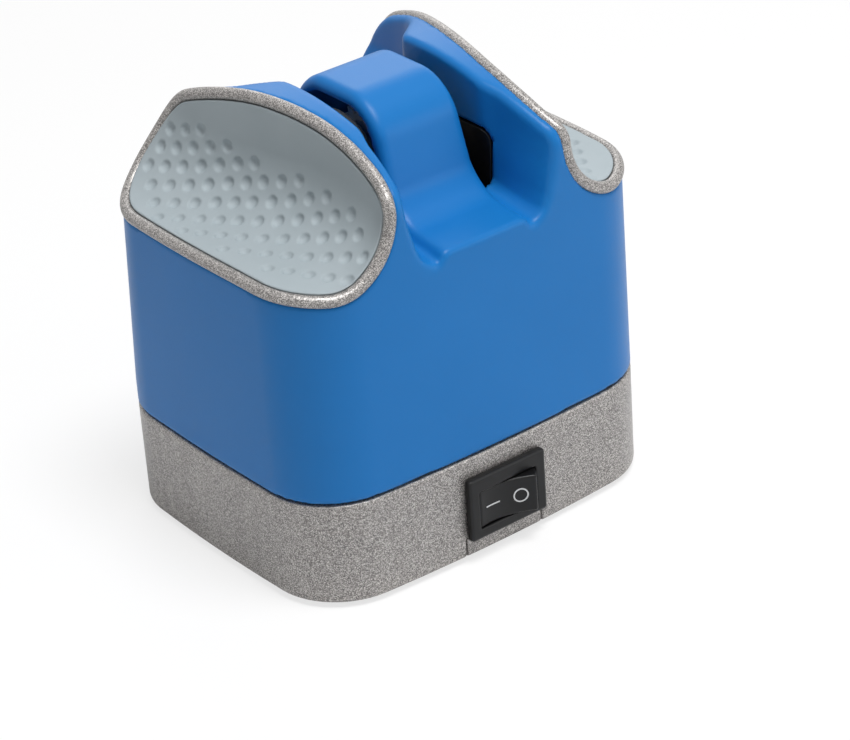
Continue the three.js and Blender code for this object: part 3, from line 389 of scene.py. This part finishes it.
def bridge(x, y, z):
    """The bridge, with the raised tongue that it flows into at the front and the back."""
    tongue = z - np.interp(y, [-tongue_end, bridge_middle - bridge_foot_half,
                               bridge_middle + bridge_foot_half, tongue_end],
                           [tongue_mouth, bridge_foot, bridge_foot, tongue_mouth])
    profile = rounded_min(hump(y, z, 0, bridge_shoulder), tongue, bridge_fillet)
    half = bridge_half_foot + (bridge_half_top - bridge_half_foot) * (
        (z - bridge_foot) / (bridge_top - bridge_foot))
    return rounded_max(profile, np.abs(x) - half, bridge_edge)


slot_inner, slot_inset, slot_round = 11.0, 1.4, 0.98
slot_low = groove_mouth - wall_thickness - 2
slot_reach = bridge_foot_half - slot_inset
slot_front = bridge_middle - slot_reach
window_rise, window_bend, window_out, window_half = 12.3, 3.3, 1.05, 1.35
wheel_roof, wheel_shoulder = 3.0, 6.4


def slot(x, y, z):
    middle, half = (slot_inner + recess_half) / 2, (recess_half - slot_inner) / 2
    across = rounded_max(np.abs(np.abs(x) - middle) - half,
                         np.abs(y - bridge_middle) - slot_reach, slot_round * half)
    return np.maximum(across, slot_low - z)


def liner_window(x, y, z):
    """The opening in a lobe's wall that the black slot liner fills."""
    middle, half = (slot_front + recess_back) / 2, (recess_back - slot_front) / 2
    side = rounded_max(np.abs(y - middle) - half, z - (groove + window_rise), window_bend)
    across = np.abs(np.abs(x) - (recess_half + window_out)) - window_half
    return np.maximum(np.maximum(side, across), slot_low - z)


def wheel_room(x, y, z):
    """The space under the bridge for the grinding wheels."""
    under = hump(y, z, wheel_roof, wheel_shoulder)
    return np.maximum(np.maximum(under, np.abs(x) - recess_half), slot_low - z)


boss_x, boss_y = half_length - 14.2, half_depth - 13.9
boss_radius, boss_bore = 3.6, 1.75
boss_rib, boss_rib_rise = 0.8, 2.8
boss_bottom, screw_length = 4.1, 12
boss_top = scoop_floor - 1.5 - scoop_radius * 0.16


def bosses(x, y, z):
    """The four screw bosses with the ribs that tie them to the corners, and their bores."""
    away = np.array([boss_x, boss_y]) - corner
    away /= np.hypot(*away)
    dx, dy = np.abs(x) - boss_x, np.abs(y) - boss_y
    along = np.clip(dx * away[0] + dy * away[1], 0, corner_radius)
    rib = np.hypot(dx - along * away[0], dy - along * away[1]) - boss_rib
    rib = np.maximum(rib, body_bottom + boss_rib_rise - z)
    rib = np.maximum(rib, walls(x, y, z) + wall_thickness / 2)
    column = np.maximum(np.hypot(dx, dy) - boss_radius, boss_bottom - z)
    bore = np.maximum(np.hypot(dx, dy) - boss_bore, z - boss_bottom - screw_length)
    return np.maximum(np.minimum(column, rib), z - boss_top), bore


pad_pocket = 1.0
lobe_edge, cut_edge, rim_edge, bridge_skin_edge, bridge_foot_bend = 1.6, 0.45, 0.5, 1.0, 0.8


def body(x, y, z):
    y = upright(y, z)
    shell, grip, gap, skin = housing(x, y, z), scoop(x, y, z), recess(x, y, z), walls(x, y, z)
    outer = rounded_max(rounded_max(shell, pad_pocket - grip, rim_edge), -gap, lobe_edge)
    over = rounded_max(bridge(x, y, z), skin, bridge_skin_edge)
    over = np.maximum(over, groove_mouth - wall_thickness - z)
    outer = np.maximum(rounded_min(outer, over, bridge_foot_bend), skin)
    inner = np.maximum(shell + wall_thickness, pad_pocket + wall_thickness - grip)
    inner = np.maximum(inner, wall_thickness - gap)
    outer = np.maximum(np.maximum(outer, -inner), -wheel_room(x, y, z))
    outer = rounded_max(outer, -slot(x, y, z), cut_edge)
    outer = rounded_max(outer, -liner_window(x, y, z), cut_edge)
    outer = rounded_max(outer, body_bottom - z, rim_edge)
    both, bore = bosses(x, y, z)
    return np.maximum(np.minimum(outer, both), -bore)


def polygonise(field, low, high, step):
    """A net of four-sided faces round the places where the field changes sign."""
    counts = [int(math.ceil((h - l) / step)) + 1 for l, h in zip(low, high)]
    axes = [l + step * np.arange(n) for l, n in zip(low, counts)]
    value = np.empty(counts)
    for k, z in enumerate(axes[2]):
        value[:, :, k] = field(axes[0][:, None], axes[1][None, :], np.full((1, 1), z))
    cells = tuple(n - 1 for n in counts)
    total, hits = np.zeros(cells + (3,)), np.zeros(cells)
    crossings = []
    for axis in range(3):
        first, second = [slice(None)] * 3, [slice(None)] * 3
        first[axis], second[axis] = slice(0, -1), slice(1, None)
        a, b = value[tuple(first)], value[tuple(second)]
        crossed = (a < 0) != (b < 0)
        spot = np.argwhere(crossed)
        point = spot.astype(float)
        point[:, axis] += a[crossed] / (a[crossed] - b[crossed])
        others = [n for n in range(3) if n != axis]
        around = []
        for before in ((1, 1), (0, 1), (0, 0), (1, 0)):
            cell = spot.copy()
            cell[:, others[0]] -= before[0]
            cell[:, others[1]] -= before[1]
            keep = np.all((cell >= 0) & (cell < cells), axis=1)
            np.add.at(total, tuple(cell[keep].T), point[keep])
            np.add.at(hits, tuple(cell[keep].T), 1)
            around.append(cell)
        crossings.append((around, a[crossed] < 0, axis))
    number = np.full(cells, -1)
    used = hits > 0
    number[used] = np.arange(used.sum())
    points = total[used] / hits[used][:, None] * step + np.array(low)
    quads = []
    for around, rising, axis in crossings:
        ring = np.stack([number[tuple(cell.T)] for cell in around], axis=1)
        flip = rising if axis != 1 else ~rising
        quads.append(np.where(flip[:, None], ring, ring[:, ::-1]))
    return points, np.concatenate(quads)


def slopes_of(field, points, nudge=0.02):
    """How fast the field grows along each axis at each point."""
    x, y, z = points.T
    return np.stack([field(x + nudge, y, z) - field(x - nudge, y, z),
                     field(x, y + nudge, z) - field(x, y - nudge, z),
                     field(x, y, z + nudge) - field(x, y, z - nudge)], axis=1) / (2 * nudge)


tiny = 1e-9
settle_turns, least_steepness = 3, 0.25


def settle(field, points, step):
    """Moves the net's corners onto the surface itself, by half a step at most each turn."""
    for _ in range(settle_turns):
        slopes = slopes_of(field, points)
        size = np.maximum((slopes ** 2).sum(axis=1), least_steepness)
        move = -(field(*points.T) / size)[:, None] * slopes
        reach = np.linalg.norm(move, axis=1)
        points = points + move * np.minimum(1, 0.5 * step / np.maximum(reach, tiny))[:, None]
    return points


def shape(field, low, high, step):
    """The points and faces of a field's surface inside this box."""
    points, faces = polygonise(field, low, high, step)
    return settle(field, points, step), faces


def show(name, points, faces, finish, node=None, body_name=None, slot_name=None, sharp=None):
    """A smooth piece from points in millimetres, riding on its body. A node gives its own."""
    mesh = bpy.data.meshes.new(name)
    placed = (np.asarray(points) + np.array([0, centring, 0])) * mm
    mesh.from_pydata(placed.tolist(), [], np.asarray(faces).tolist())
    mesh.materials.append(finish.material)
    mesh.shade_smooth()
    if sharp is not None:
        mesh.set_sharp_from_angle(angle=math.radians(sharp))
    piece = bpy.data.objects.new(name, mesh)
    bpy.context.scene.collection.objects.link(piece)
    if node is not None:
        body_name = nodes[node]["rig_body"]
        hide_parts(node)
    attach(piece, body_name)


blue = Finish("blue_plastic_grained", Specular_IOR_Level=0.2)
blue.tint(30, (18, 106, 174), (24, 112, 182))
blue.feed("Roughness", 0.34 + 0.08 * blue.noise(0.6, 3))
blue.grain(blue.noise(0.25, 3, 0.6), 0.012)
body_low, body_high, body_step = (-49, -41.5, 3.4), (49, 41.5, 103), 0.75
show("body_shell_skin", *shape(body, body_low, body_high, body_step), blue, "body_shell")


# A silver bead runs round each grip and closes the joint between the rubber pad and the blue
# housing. It carries the same silver paint with metal flakes as the base, and is glued in.
silver = Finish("silver_flake_paint", Metallic=0.45)
flake_size = 0.15
flake_colour = silver.node("ShaderNodeTexVoronoi", {}, {
    "Vector": silver.place(), "Scale": 1 / (flake_size * mm)}, "Color")
flake = silver.node("ShaderNodeSeparateColor", {}, [flake_colour])
silver.feed("Base Color", silver.blend(flake * flake, (94, 91, 90), (214, 210, 206)))
silver.feed("Roughness", 0.3 + 0.2 * flake)
silver.grain(silver.noise(0.22, 3, 0.6), 0.016)
ring_radius, ring_sink, frame_ring_radius = 1.35, 0.8, 1.5
ring_steps, ring_sides = 420, 28
ring_turns, ring_longest_move, least_angle = 12, 1, 0.05
loop_middle = 87


def leaned_scoop(x, y, z):
    return scoop(x, upright(y, z), z)


def ring_skin(x, y, z):
    return housing(x, upright(y, z), z) + ring_sink


def onto_ring(points):
    """Moves points to where the scoop's edge runs just under the housing's skin."""
    for _ in range(ring_turns):
        a, b = leaned_scoop(*points.T), ring_skin(*points.T)
        ga, gb = slopes_of(leaned_scoop, points), slopes_of(ring_skin, points)
        aa, bb, ab = (ga * ga).sum(1), (gb * gb).sum(1), (ga * gb).sum(1)
        det = np.maximum(aa * bb - ab * ab, least_angle)
        move = ((bb * a - ab * b) / det)[:, None] * ga + ((aa * b - ab * a) / det)[:, None] * gb
        reach = np.maximum(np.linalg.norm(move, axis=1), tiny)
        points = points - move * np.minimum(1, ring_longest_move / reach)[:, None]
    return points


def evenly(points, count):
    """The same closed curve with this many points at equal spacing."""
    closed = np.concatenate([points, points[:1]])
    run = np.concatenate([[0], np.cumsum(np.linalg.norm(np.diff(closed, axis=0), axis=1))])
    at = np.arange(count) * run[-1] / count
    return np.stack([np.interp(at, run, closed[:, k]) for k in range(3)], axis=1)


# The frame's own bead gives the first guess of the loop: the middle under each of its points.
ring_mesh = nodes["grip_ring_left"].data
ring_start = np.array([v.co - v.normal * frame_ring_radius * mm for v in ring_mesh.vertices]) / mm
ring_start -= np.array([0, centring, 0])
ring_start = onto_ring(ring_start)
ring_start = ring_start[np.argsort(np.arctan2(ring_start[:, 2] - loop_middle, ring_start[:, 1]))]
ring_line = onto_ring(evenly(onto_ring(evenly(ring_start, ring_steps)), ring_steps))
ring_along = np.roll(ring_line, -1, axis=0) - np.roll(ring_line, 1, axis=0)
ring_along /= np.linalg.norm(ring_along, axis=1)[:, None]
ring_out = slopes_of(ring_skin, ring_line)
ring_out -= (ring_out * ring_along).sum(axis=1)[:, None] * ring_along
ring_out /= np.linalg.norm(ring_out, axis=1)[:, None]
ring_across = np.cross(ring_along, ring_out)
turn = np.arange(ring_sides) * 2 * math.pi / ring_sides
ring_points = (ring_line[:, None] + ring_radius * (
    ring_out[:, None] * np.cos(turn)[None, :, None]
    + ring_across[:, None] * np.sin(turn)[None, :, None])).reshape(-1, 3)
ring_faces = [(i * ring_sides + j, i * ring_sides + (j + 1) % ring_sides,
               (i + 1) % ring_steps * ring_sides + (j + 1) % ring_sides,
               (i + 1) % ring_steps * ring_sides + j)
              for i in range(ring_steps) for j in range(ring_sides)]


def both_sides(name, points, faces, finish):
    """The left piece and its mirror image on the right."""
    show(name + "_left_skin", points, faces, finish, name + "_left")
    show(name + "_right_skin", points * np.array([-1, 1, 1]), np.asarray(faces)[:, ::-1], finish,
         name + "_right")


both_sides("grip_ring", ring_points, np.asarray(ring_faces)[:, ::-1], silver)


# Each grip is a soft pad of grey rubber, moulded with rows of shallow round dimples for the
# fingers and stuck into the scoop, with a thin gap all round under the bead.
pad_top, pad_under, pad_edge_gap, pad_edge, pad_sink = 1.35, 0.7, 0.14, 0.45, 0.3
dimple_radius, dimple_lift, dimple_rim, dimple_margin = 1.8, 1.06, 0.12, 2.1
near_slab, near_shell = 1.7, 3
measured_top = 0.8
dimple_rows = {1: (0, 2), 2: (0, 4), 3: (0, 6), 4: (0, 9), 5: (1, 11), 6: (3, 13), 7: (5, 14),
               8: (8, 15), 9: (11, 15), 10: (13, 14)}


def dimple_place(row, column):
    """Depth along the pad and height up its curve, in a formula that fits the visible rows."""
    depth = 29.3 - 5.2312 * column + 2.0119 * row + 0.142 * column * row - 0.2909 * row ** 2
    height = (28.4 + 0.1553 * column - 3.9232 * row + 0.0681 * column * row
              - 0.168 * row ** 2 + 0.0658 * column ** 2)
    return depth, height


def dimple_centre(depth, height):
    """The centre of the ball that presses the dimple, over the pad's curved top."""
    radius, wall, floor = [float(v) for v in scoop_sizes(depth)]
    bend = radius - pad_top
    angle = min(max(height / (radius - measured_top), 0), math.pi / 2)
    beyond = height - angle * (radius - measured_top)
    aside = wall + radius - bend * math.sin(angle) - (beyond if height < 0 else 0)
    above = floor + radius - bend * math.cos(angle) + (beyond if height > 0 else 0)
    aside += math.sin(angle) * dimple_lift
    above += math.cos(angle) * dimple_lift
    leaned = depth * (1 - lean * max(above - lean_start, 0) / half_depth) if depth > 0 else depth
    return (-aside, leaned, above)


dimples = np.array([dimple_centre(*dimple_place(row, column))
                    for row, (start, end) in dimple_rows.items()
                    for column in range(start, end + 1)])


def squares_apart(points, places):
    """The squared distance from each point to each place."""
    return ((points ** 2).sum(1)[:, None] - 2 * points @ places.T + (places ** 2).sum(1)[None])


def ring_distance(points, batch=20000):
    """Distance to the middle line of the bead."""
    near = np.empty(len(points))
    for start in range(0, len(points), batch):
        some = points[start:start + batch]
        index = squares_apart(some, ring_line).argmin(axis=1)
        offset = some - ring_line[index]
        along = (offset * ring_along[index]).sum(axis=1)
        near[start:start + batch] = np.sqrt(np.maximum((offset ** 2).sum(axis=1) - along ** 2, 0))
    return near


def dimple_distance(points, batch=50000):
    near = np.empty(len(points))
    for start in range(0, len(points), batch):
        apart = squares_apart(points[start:start + batch], dimples).min(axis=1)
        near[start:start + batch] = np.sqrt(np.maximum(apart, 0))
    return near


dimples = dimples[ring_distance(dimples) > ring_radius + dimple_margin]


def pad(x, y, z):
    x, y, z = np.broadcast_arrays(x, y, z)
    depth = upright(y, z)
    grip, shell = scoop(x, depth, z), housing(x, depth, z)
    slab = np.maximum(grip - pad_under, -pad_top - grip)
    field = np.maximum(slab, shell + pad_sink)
    near = (np.abs(slab) < near_slab) & (shell < near_shell)
    points = np.stack([x[near], y[near], z[near]], axis=1)
    if len(points):
        edge = ring_radius + pad_edge_gap - ring_distance(points)
        cut = dimple_radius - dimple_distance(points)
        field[near] = rounded_max(rounded_max(field[near], edge, pad_edge), cut, dimple_rim)
    return field


rubber = Finish("grey_grip_rubber")
rubber.tint(8, (152, 163, 168), (160, 170, 175))
rubber.feed("Roughness", 0.62 + 0.1 * rubber.noise(0.5))
rubber.grain(rubber.noise(0.2, 2), 0.01)
pad_low, pad_high, pad_step = (-49.2, -41.4, 70), (-16, 40.5, 102), 0.33
both_sides("grip_pad", *shape(pad, pad_low, pad_high, pad_step), rubber)


# The base tray and the cover that closes it from below carry the same flaked silver paint. The
# cover's tab stands up under the switch, so two fine joints run down from it.
foot_height, base_edge, under_edge, joint_edge = 1.2, 0.5, 0.8, 0.2
seat_gap, run_gap = 0.3, 0.1
lip_half_height, lip_taper, lip_reach = 2.8, 1.4, 3.8
lip_inset_low, lip_inset_high = 1.7, 2.7
ledge_inset, ledge_reach, ledge_height, ledge_half_height = 1.2, 5.4, 4.9, 0.8
switch_height, switch_half, switch_half_height, switch_window_back = 13.2, 9.6, 6.5, 26
tab_half, tab_top, tab_cut_back = 10.3, 5.7, 33
tab_foot_depth, tab_depth = 4.7, 3
cover_low, cover_top = 1.6, 3.8
inlet_x, inlet_height, inlet_radius, inlet_length, inlet_room = 28, 14, 5, 11, 4
foot_x, foot_y, foot_stem = 37, 18.5, 1.7
screw_head, screw_shank, screw_head_height = 2.9, 1.4, 1.2


def tray(x, y, z):
    skin = plan(x, y)
    band = rounded_max(rounded_max(skin, z - base_top, base_edge), foot_height - z, under_edge)
    band = np.maximum(band, -skin - wall_thickness)
    inset = np.interp(z, [base_top - lip_half_height, base_top - lip_taper],
                      [lip_inset_low, lip_inset_high])
    lip = np.maximum(np.maximum(skin + inset, -skin - lip_reach),
                     np.abs(z - base_top) - lip_half_height)
    ledge = np.maximum(np.maximum(skin + ledge_inset, -skin - ledge_reach),
                       np.abs(z - ledge_height) - ledge_half_height)
    solid = np.minimum(np.minimum(band, lip), ledge)
    window = np.maximum(np.maximum(np.abs(x) - switch_half - run_gap, y + switch_window_back),
                        np.abs(z - switch_height) - switch_half_height - run_gap)
    tab_cut = np.maximum(np.maximum(np.abs(x) - tab_half - seat_gap, y + tab_cut_back),
                         z - tab_top - seat_gap)
    inlet_cut = np.maximum(np.hypot(x - inlet_x, z - inlet_height) - inlet_radius - run_gap,
                           half_depth - inlet_length - inlet_room - y)
    solid = rounded_max(solid, -tab_cut, joint_edge)
    return np.maximum(np.maximum(solid, -window), -inlet_cut)


def cover(x, y, z):
    skin = plan(x, y)
    plate = np.maximum(np.maximum(skin + wall_thickness + seat_gap, cover_low - z), z - cover_top)
    tab = np.maximum(rounded_max(skin, foot_height - z, under_edge),
                     y + half_depth - tab_foot_depth)
    tab = np.maximum(tab, np.minimum(y + half_depth - tab_depth, z - cover_top))
    tab = rounded_max(tab, np.maximum(z - tab_top, np.abs(x) - tab_half), joint_edge)
    from_screw = np.hypot(np.abs(x) - boss_x, np.abs(y) - boss_y)
    head = np.maximum(from_screw - screw_head - seat_gap, z - cover_low - screw_head_height)
    from_foot = np.hypot(np.abs(x) - foot_x, np.abs(y) - foot_y)
    holes = np.minimum(np.minimum(from_screw - screw_shank - seat_gap, head),
                       from_foot - foot_stem - seat_gap)
    return np.maximum(np.minimum(plate, tab), -holes)


base_step, base_low = 0.5, (-49.1, -41.6, 0.8)
tray_high, cover_high = (49.1, 41.6, 28.6), (49.1, 41.6, 6.4)
show("base_tray_skin", *shape(tray, base_low, tray_high, base_step), silver, "base_tray")
show("bottom_cover_skin", *shape(cover, base_low, cover_high, base_step), silver, "bottom_cover")


# The rocker switch is a standard snap-in part of black plastic: a frame with softened edges
# round a well, and a rocker with a hollow face that carries the printed marks I and O.
black = Finish("black_satin_plastic", Roughness=0.38, Specular_IOR_Level=0.3)
black.tint(6, (9, 9, 10), (15, 15, 16))
black.grain(black.noise(0.15, 2), 0.006)
face_y = -half_depth - 0.3
bezel_half, bezel_half_height, bezel_depth = 10.5, 7.5, 1.7
bezel_corner, bezel_edge = 0.6, 0.5
switch_depth, switch_corner = 13, 0.5
well_radius, well_half_height, well_depth, well_height = 8.4, 4.65, 7.4, 12.65
well_corner, well_edge = 0.4, 0.2
pivot_depth = 1.6
rocker_axis = face_y + pivot_depth
rocker_half, rocker_half_height, rocker_face, rocker_tip = 7.2, 4.4, 3.2, 4.73
rocker_radius, rocker_back, rocker_edge, rocker_past = 8.2, 1.6, 0.3, 12
rocker_tilt = math.radians(12)
rocker_arc = (rocker_half ** 2 + (rocker_tip - rocker_face) ** 2) / (2 * (rocker_tip - rocker_face))
trunnion, trunnion_length = 1.1, 0.5


def switch_frame(x, y, z):
    up_z = z - switch_height
    flange = rounded_max(np.abs(x) - bezel_half, np.abs(up_z) - bezel_half_height, bezel_corner)
    flange = rounded_max(flange, face_y - bezel_depth - y, bezel_edge)
    flange = np.maximum(flange, y - face_y)
    block = rounded_max(np.abs(x) - switch_half, np.abs(up_z) - switch_half_height, switch_corner)
    block = np.maximum(block, y - face_y - switch_depth)
    block = np.maximum(block, face_y - bezel_depth / 2 - y)
    from_axis = np.where(y < rocker_axis, np.hypot(x, y - rocker_axis), np.abs(x))
    well = rounded_max(from_axis - well_radius, np.abs(z - well_height) - well_half_height,
                       well_corner)
    well = np.maximum(well, y - face_y - well_depth)
    pivot = np.maximum(np.hypot(x, y - rocker_axis) - trunnion - run_gap,
                       np.abs(z - well_height) - well_half_height - trunnion_length)
    return np.maximum(rounded_max(np.minimum(flange, block), -well, well_edge), -pivot)


def rocker_depth(along):
    """How far the hollow face stands in front of the pivot."""
    return rocker_face + rocker_arc - np.sqrt(rocker_arc ** 2 - along ** 2)


def rocker(x, y, z):
    along = x * math.cos(rocker_tilt) - (y - rocker_axis) * math.sin(rocker_tilt)
    inward = x * math.sin(rocker_tilt) + (y - rocker_axis) * math.cos(rocker_tilt)
    up_z = np.abs(z - well_height)
    block = rounded_max(np.hypot(along, inward) - rocker_radius, inward - rocker_back, rocker_edge)
    front = -(inward + rocker_depth(np.clip(along, -rocker_past, rocker_past)))
    block = rounded_max(block, up_z - rocker_half_height, rocker_edge)
    block = rounded_max(block, front, rocker_edge)
    pin = np.maximum(np.hypot(x, y - rocker_axis) - trunnion,
                     up_z - rocker_half_height - trunnion_length)
    return np.minimum(block, pin)


switch_step = 0.3
frame_low, frame_high = (-11, -43, 5.2), (11, -27, 21.2)
rocker_low, rocker_high = (-9.2, -47, 6.6), (9.2, -35.5, 19.8)
show("switch_housing_skin", *shape(switch_frame, frame_low, frame_high, switch_step), black,
     "switch_housing")
show("switch_rocker_skin", *shape(rocker, rocker_low, rocker_high, switch_step), black,
     "switch_rocker")
print_white = Finish("pale_print", Roughness=0.55)
print_white.tint(0.4, (186, 187, 188), (204, 205, 206))
mark_place, mark_width, mark_length, ring_mark = 3.4, 0.32, 3.6, 3.4
mark_proud, mark_root, mark_sharp = 0.04, -0.1, 40
ring_mark_steps, stroke_steps = 64, 16


def on_rocker(along, height, proud):
    """Places on the rocker's face, or this far in front of it."""
    inward = -rocker_depth(along) - proud
    x = along * math.cos(rocker_tilt) + inward * math.sin(rocker_tilt)
    y = -along * math.sin(rocker_tilt) + inward * math.cos(rocker_tilt)
    return np.stack([x, y + rocker_axis, height + well_height], axis=1)


def printed(name, inner, outer, closed):
    """A thin printed band between two lines of places on the rocker's face."""
    count = len(inner)
    lines = [on_rocker(line[:, 0], line[:, 1], proud) for line, proud in
             ((inner, mark_proud), (outer, mark_proud), (outer, mark_root), (inner, mark_root))]
    faces = []
    for i in range(count if closed else count - 1):
        j = (i + 1) % count
        for k in range(4):
            a, b = k * count, (k + 1) % 4 * count
            faces.append((a + i, a + j, b + j, b + i))
    if not closed:
        faces.append(tuple(k * count for k in range(4)))
        faces.append(tuple(k * count + count - 1 for k in (3, 2, 1, 0)))
    show(name, np.concatenate(lines), faces, print_white, body_name="rocker",
         slot_name="black_plastic", sharp=mark_sharp)


around = np.arange(ring_mark_steps) * 2 * math.pi / ring_mark_steps
circle = np.stack([np.cos(around), np.sin(around)], axis=1)
printed("switch_mark_off", circle * (ring_mark / 2 - mark_width) + [mark_place, 0],
        circle * ring_mark / 2 + [mark_place, 0], True)
stroke = np.linspace(-mark_length / 2, mark_length / 2, stroke_steps) - mark_place
stroke_low, stroke_high = [np.stack([stroke, np.full(stroke_steps, side)], axis=1)
                           for side in (-mark_width / 2, mark_width / 2)]
printed("switch_mark_on", stroke_low, stroke_high, False)


# The slot liners, the power inlet and the blade guides are moulded in the same black plastic. The
# guides
# carry a painted reflection: a nearly black maroon for the red-brown glow of the grinding wheels in
# the shaded slot. They are pressed in from inside. Their shapes are the frame's.
eased_edge = 0.15
smooth_angle, flat_angle, weld_distance = math.radians(30), math.radians(0.1), 1e-6


def dressed(node, finish, edge=None):
    """A welded, smooth-shaded copy of a frame node, its edges eased if a width is given."""
    source = nodes[node]
    mesh = source.data.copy()
    mesh.name = node + "_skin"
    weld = bmesh.new()
    weld.from_mesh(mesh)
    bmesh.ops.remove_doubles(weld, verts=weld.verts, dist=weld_distance)
    if edge is not None:
        bmesh.ops.dissolve_limit(weld, angle_limit=flat_angle, verts=weld.verts, edges=weld.edges)
    weld.to_mesh(mesh)
    weld.free()
    if "custom_normal" in mesh.attributes:
        mesh.attributes.remove(mesh.attributes["custom_normal"])
    mesh.materials.clear()
    mesh.materials.append(finish.material)
    mesh.shade_smooth()
    mesh.set_sharp_from_angle(angle=smooth_angle)
    piece = bpy.data.objects.new(node + "_skin", mesh)
    bpy.context.scene.collection.objects.link(piece)
    if edge is not None:
        soft = piece.modifiers.new("soft_edges", "BEVEL")
        soft.width = edge * mm
        soft.segments = 3
        soft.limit_method = "ANGLE"
        soft.angle_limit = smooth_angle
        soft.harden_normals = True
    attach(piece, source["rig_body"])
    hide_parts(node)


for name in ("power_inlet", "slot_liner_left", "slot_liner_right"):
    dressed(name, black, eased_edge)
# Painted reflection: the maroon tint stands for the grinding wheels' red-brown glow on the black
# guides.
guide_painted_reflection = Finish("guide_black_painted_wheel_reflection", Roughness=0.5, Specular_IOR_Level=0.3)
guide_painted_reflection.tint(4, (34, 12, 14), (44, 17, 18))
guide_painted_reflection.grain(guide_painted_reflection.noise(0.2, 2), 0.006)
for name in ("blade_guide_left", "blade_guide_right"):
    dressed(name, guide_painted_reflection, eased_edge)


# Inside are a steel gearbox with brass bushes and white gears, two wheels of bonded grit, the
# motor and a small board, all screwed to the housing. Below are four dark rubber feet.
steel = Finish("bright_steel", Metallic=1.0, Roughness=0.35)
steel.tint(3, (176, 178, 180), (196, 198, 200))
brass = Finish("brass", Metallic=1.0, Roughness=0.3)
brass.tint(3, (170, 134, 70), (186, 150, 84))
white = Finish("white_plastic", Roughness=0.5)
white.tint(3, (222, 220, 212), (232, 230, 224))
abrasive = Finish("abrasive_grit", Roughness=0.9)
abrasive.tint(0.3, (170, 164, 150), (214, 208, 196))
foot = Finish("foot_rubber_dark", Roughness=0.85)
foot.tint(2, (30, 31, 32), (40, 41, 42))
board = Finish("board_green", Roughness=0.5)
board.tint(2, (38, 96, 62), (48, 112, 74))
slots = {"steel": steel, "brass": brass, "white_plastic": white, "abrasive": abrasive,
         "foot_rubber": foot, "board": board, "black_plastic": black}
for name, node in nodes.items():
    if not node.hide_render:
        dressed(name, slots[node.material_slots[0].material.name])
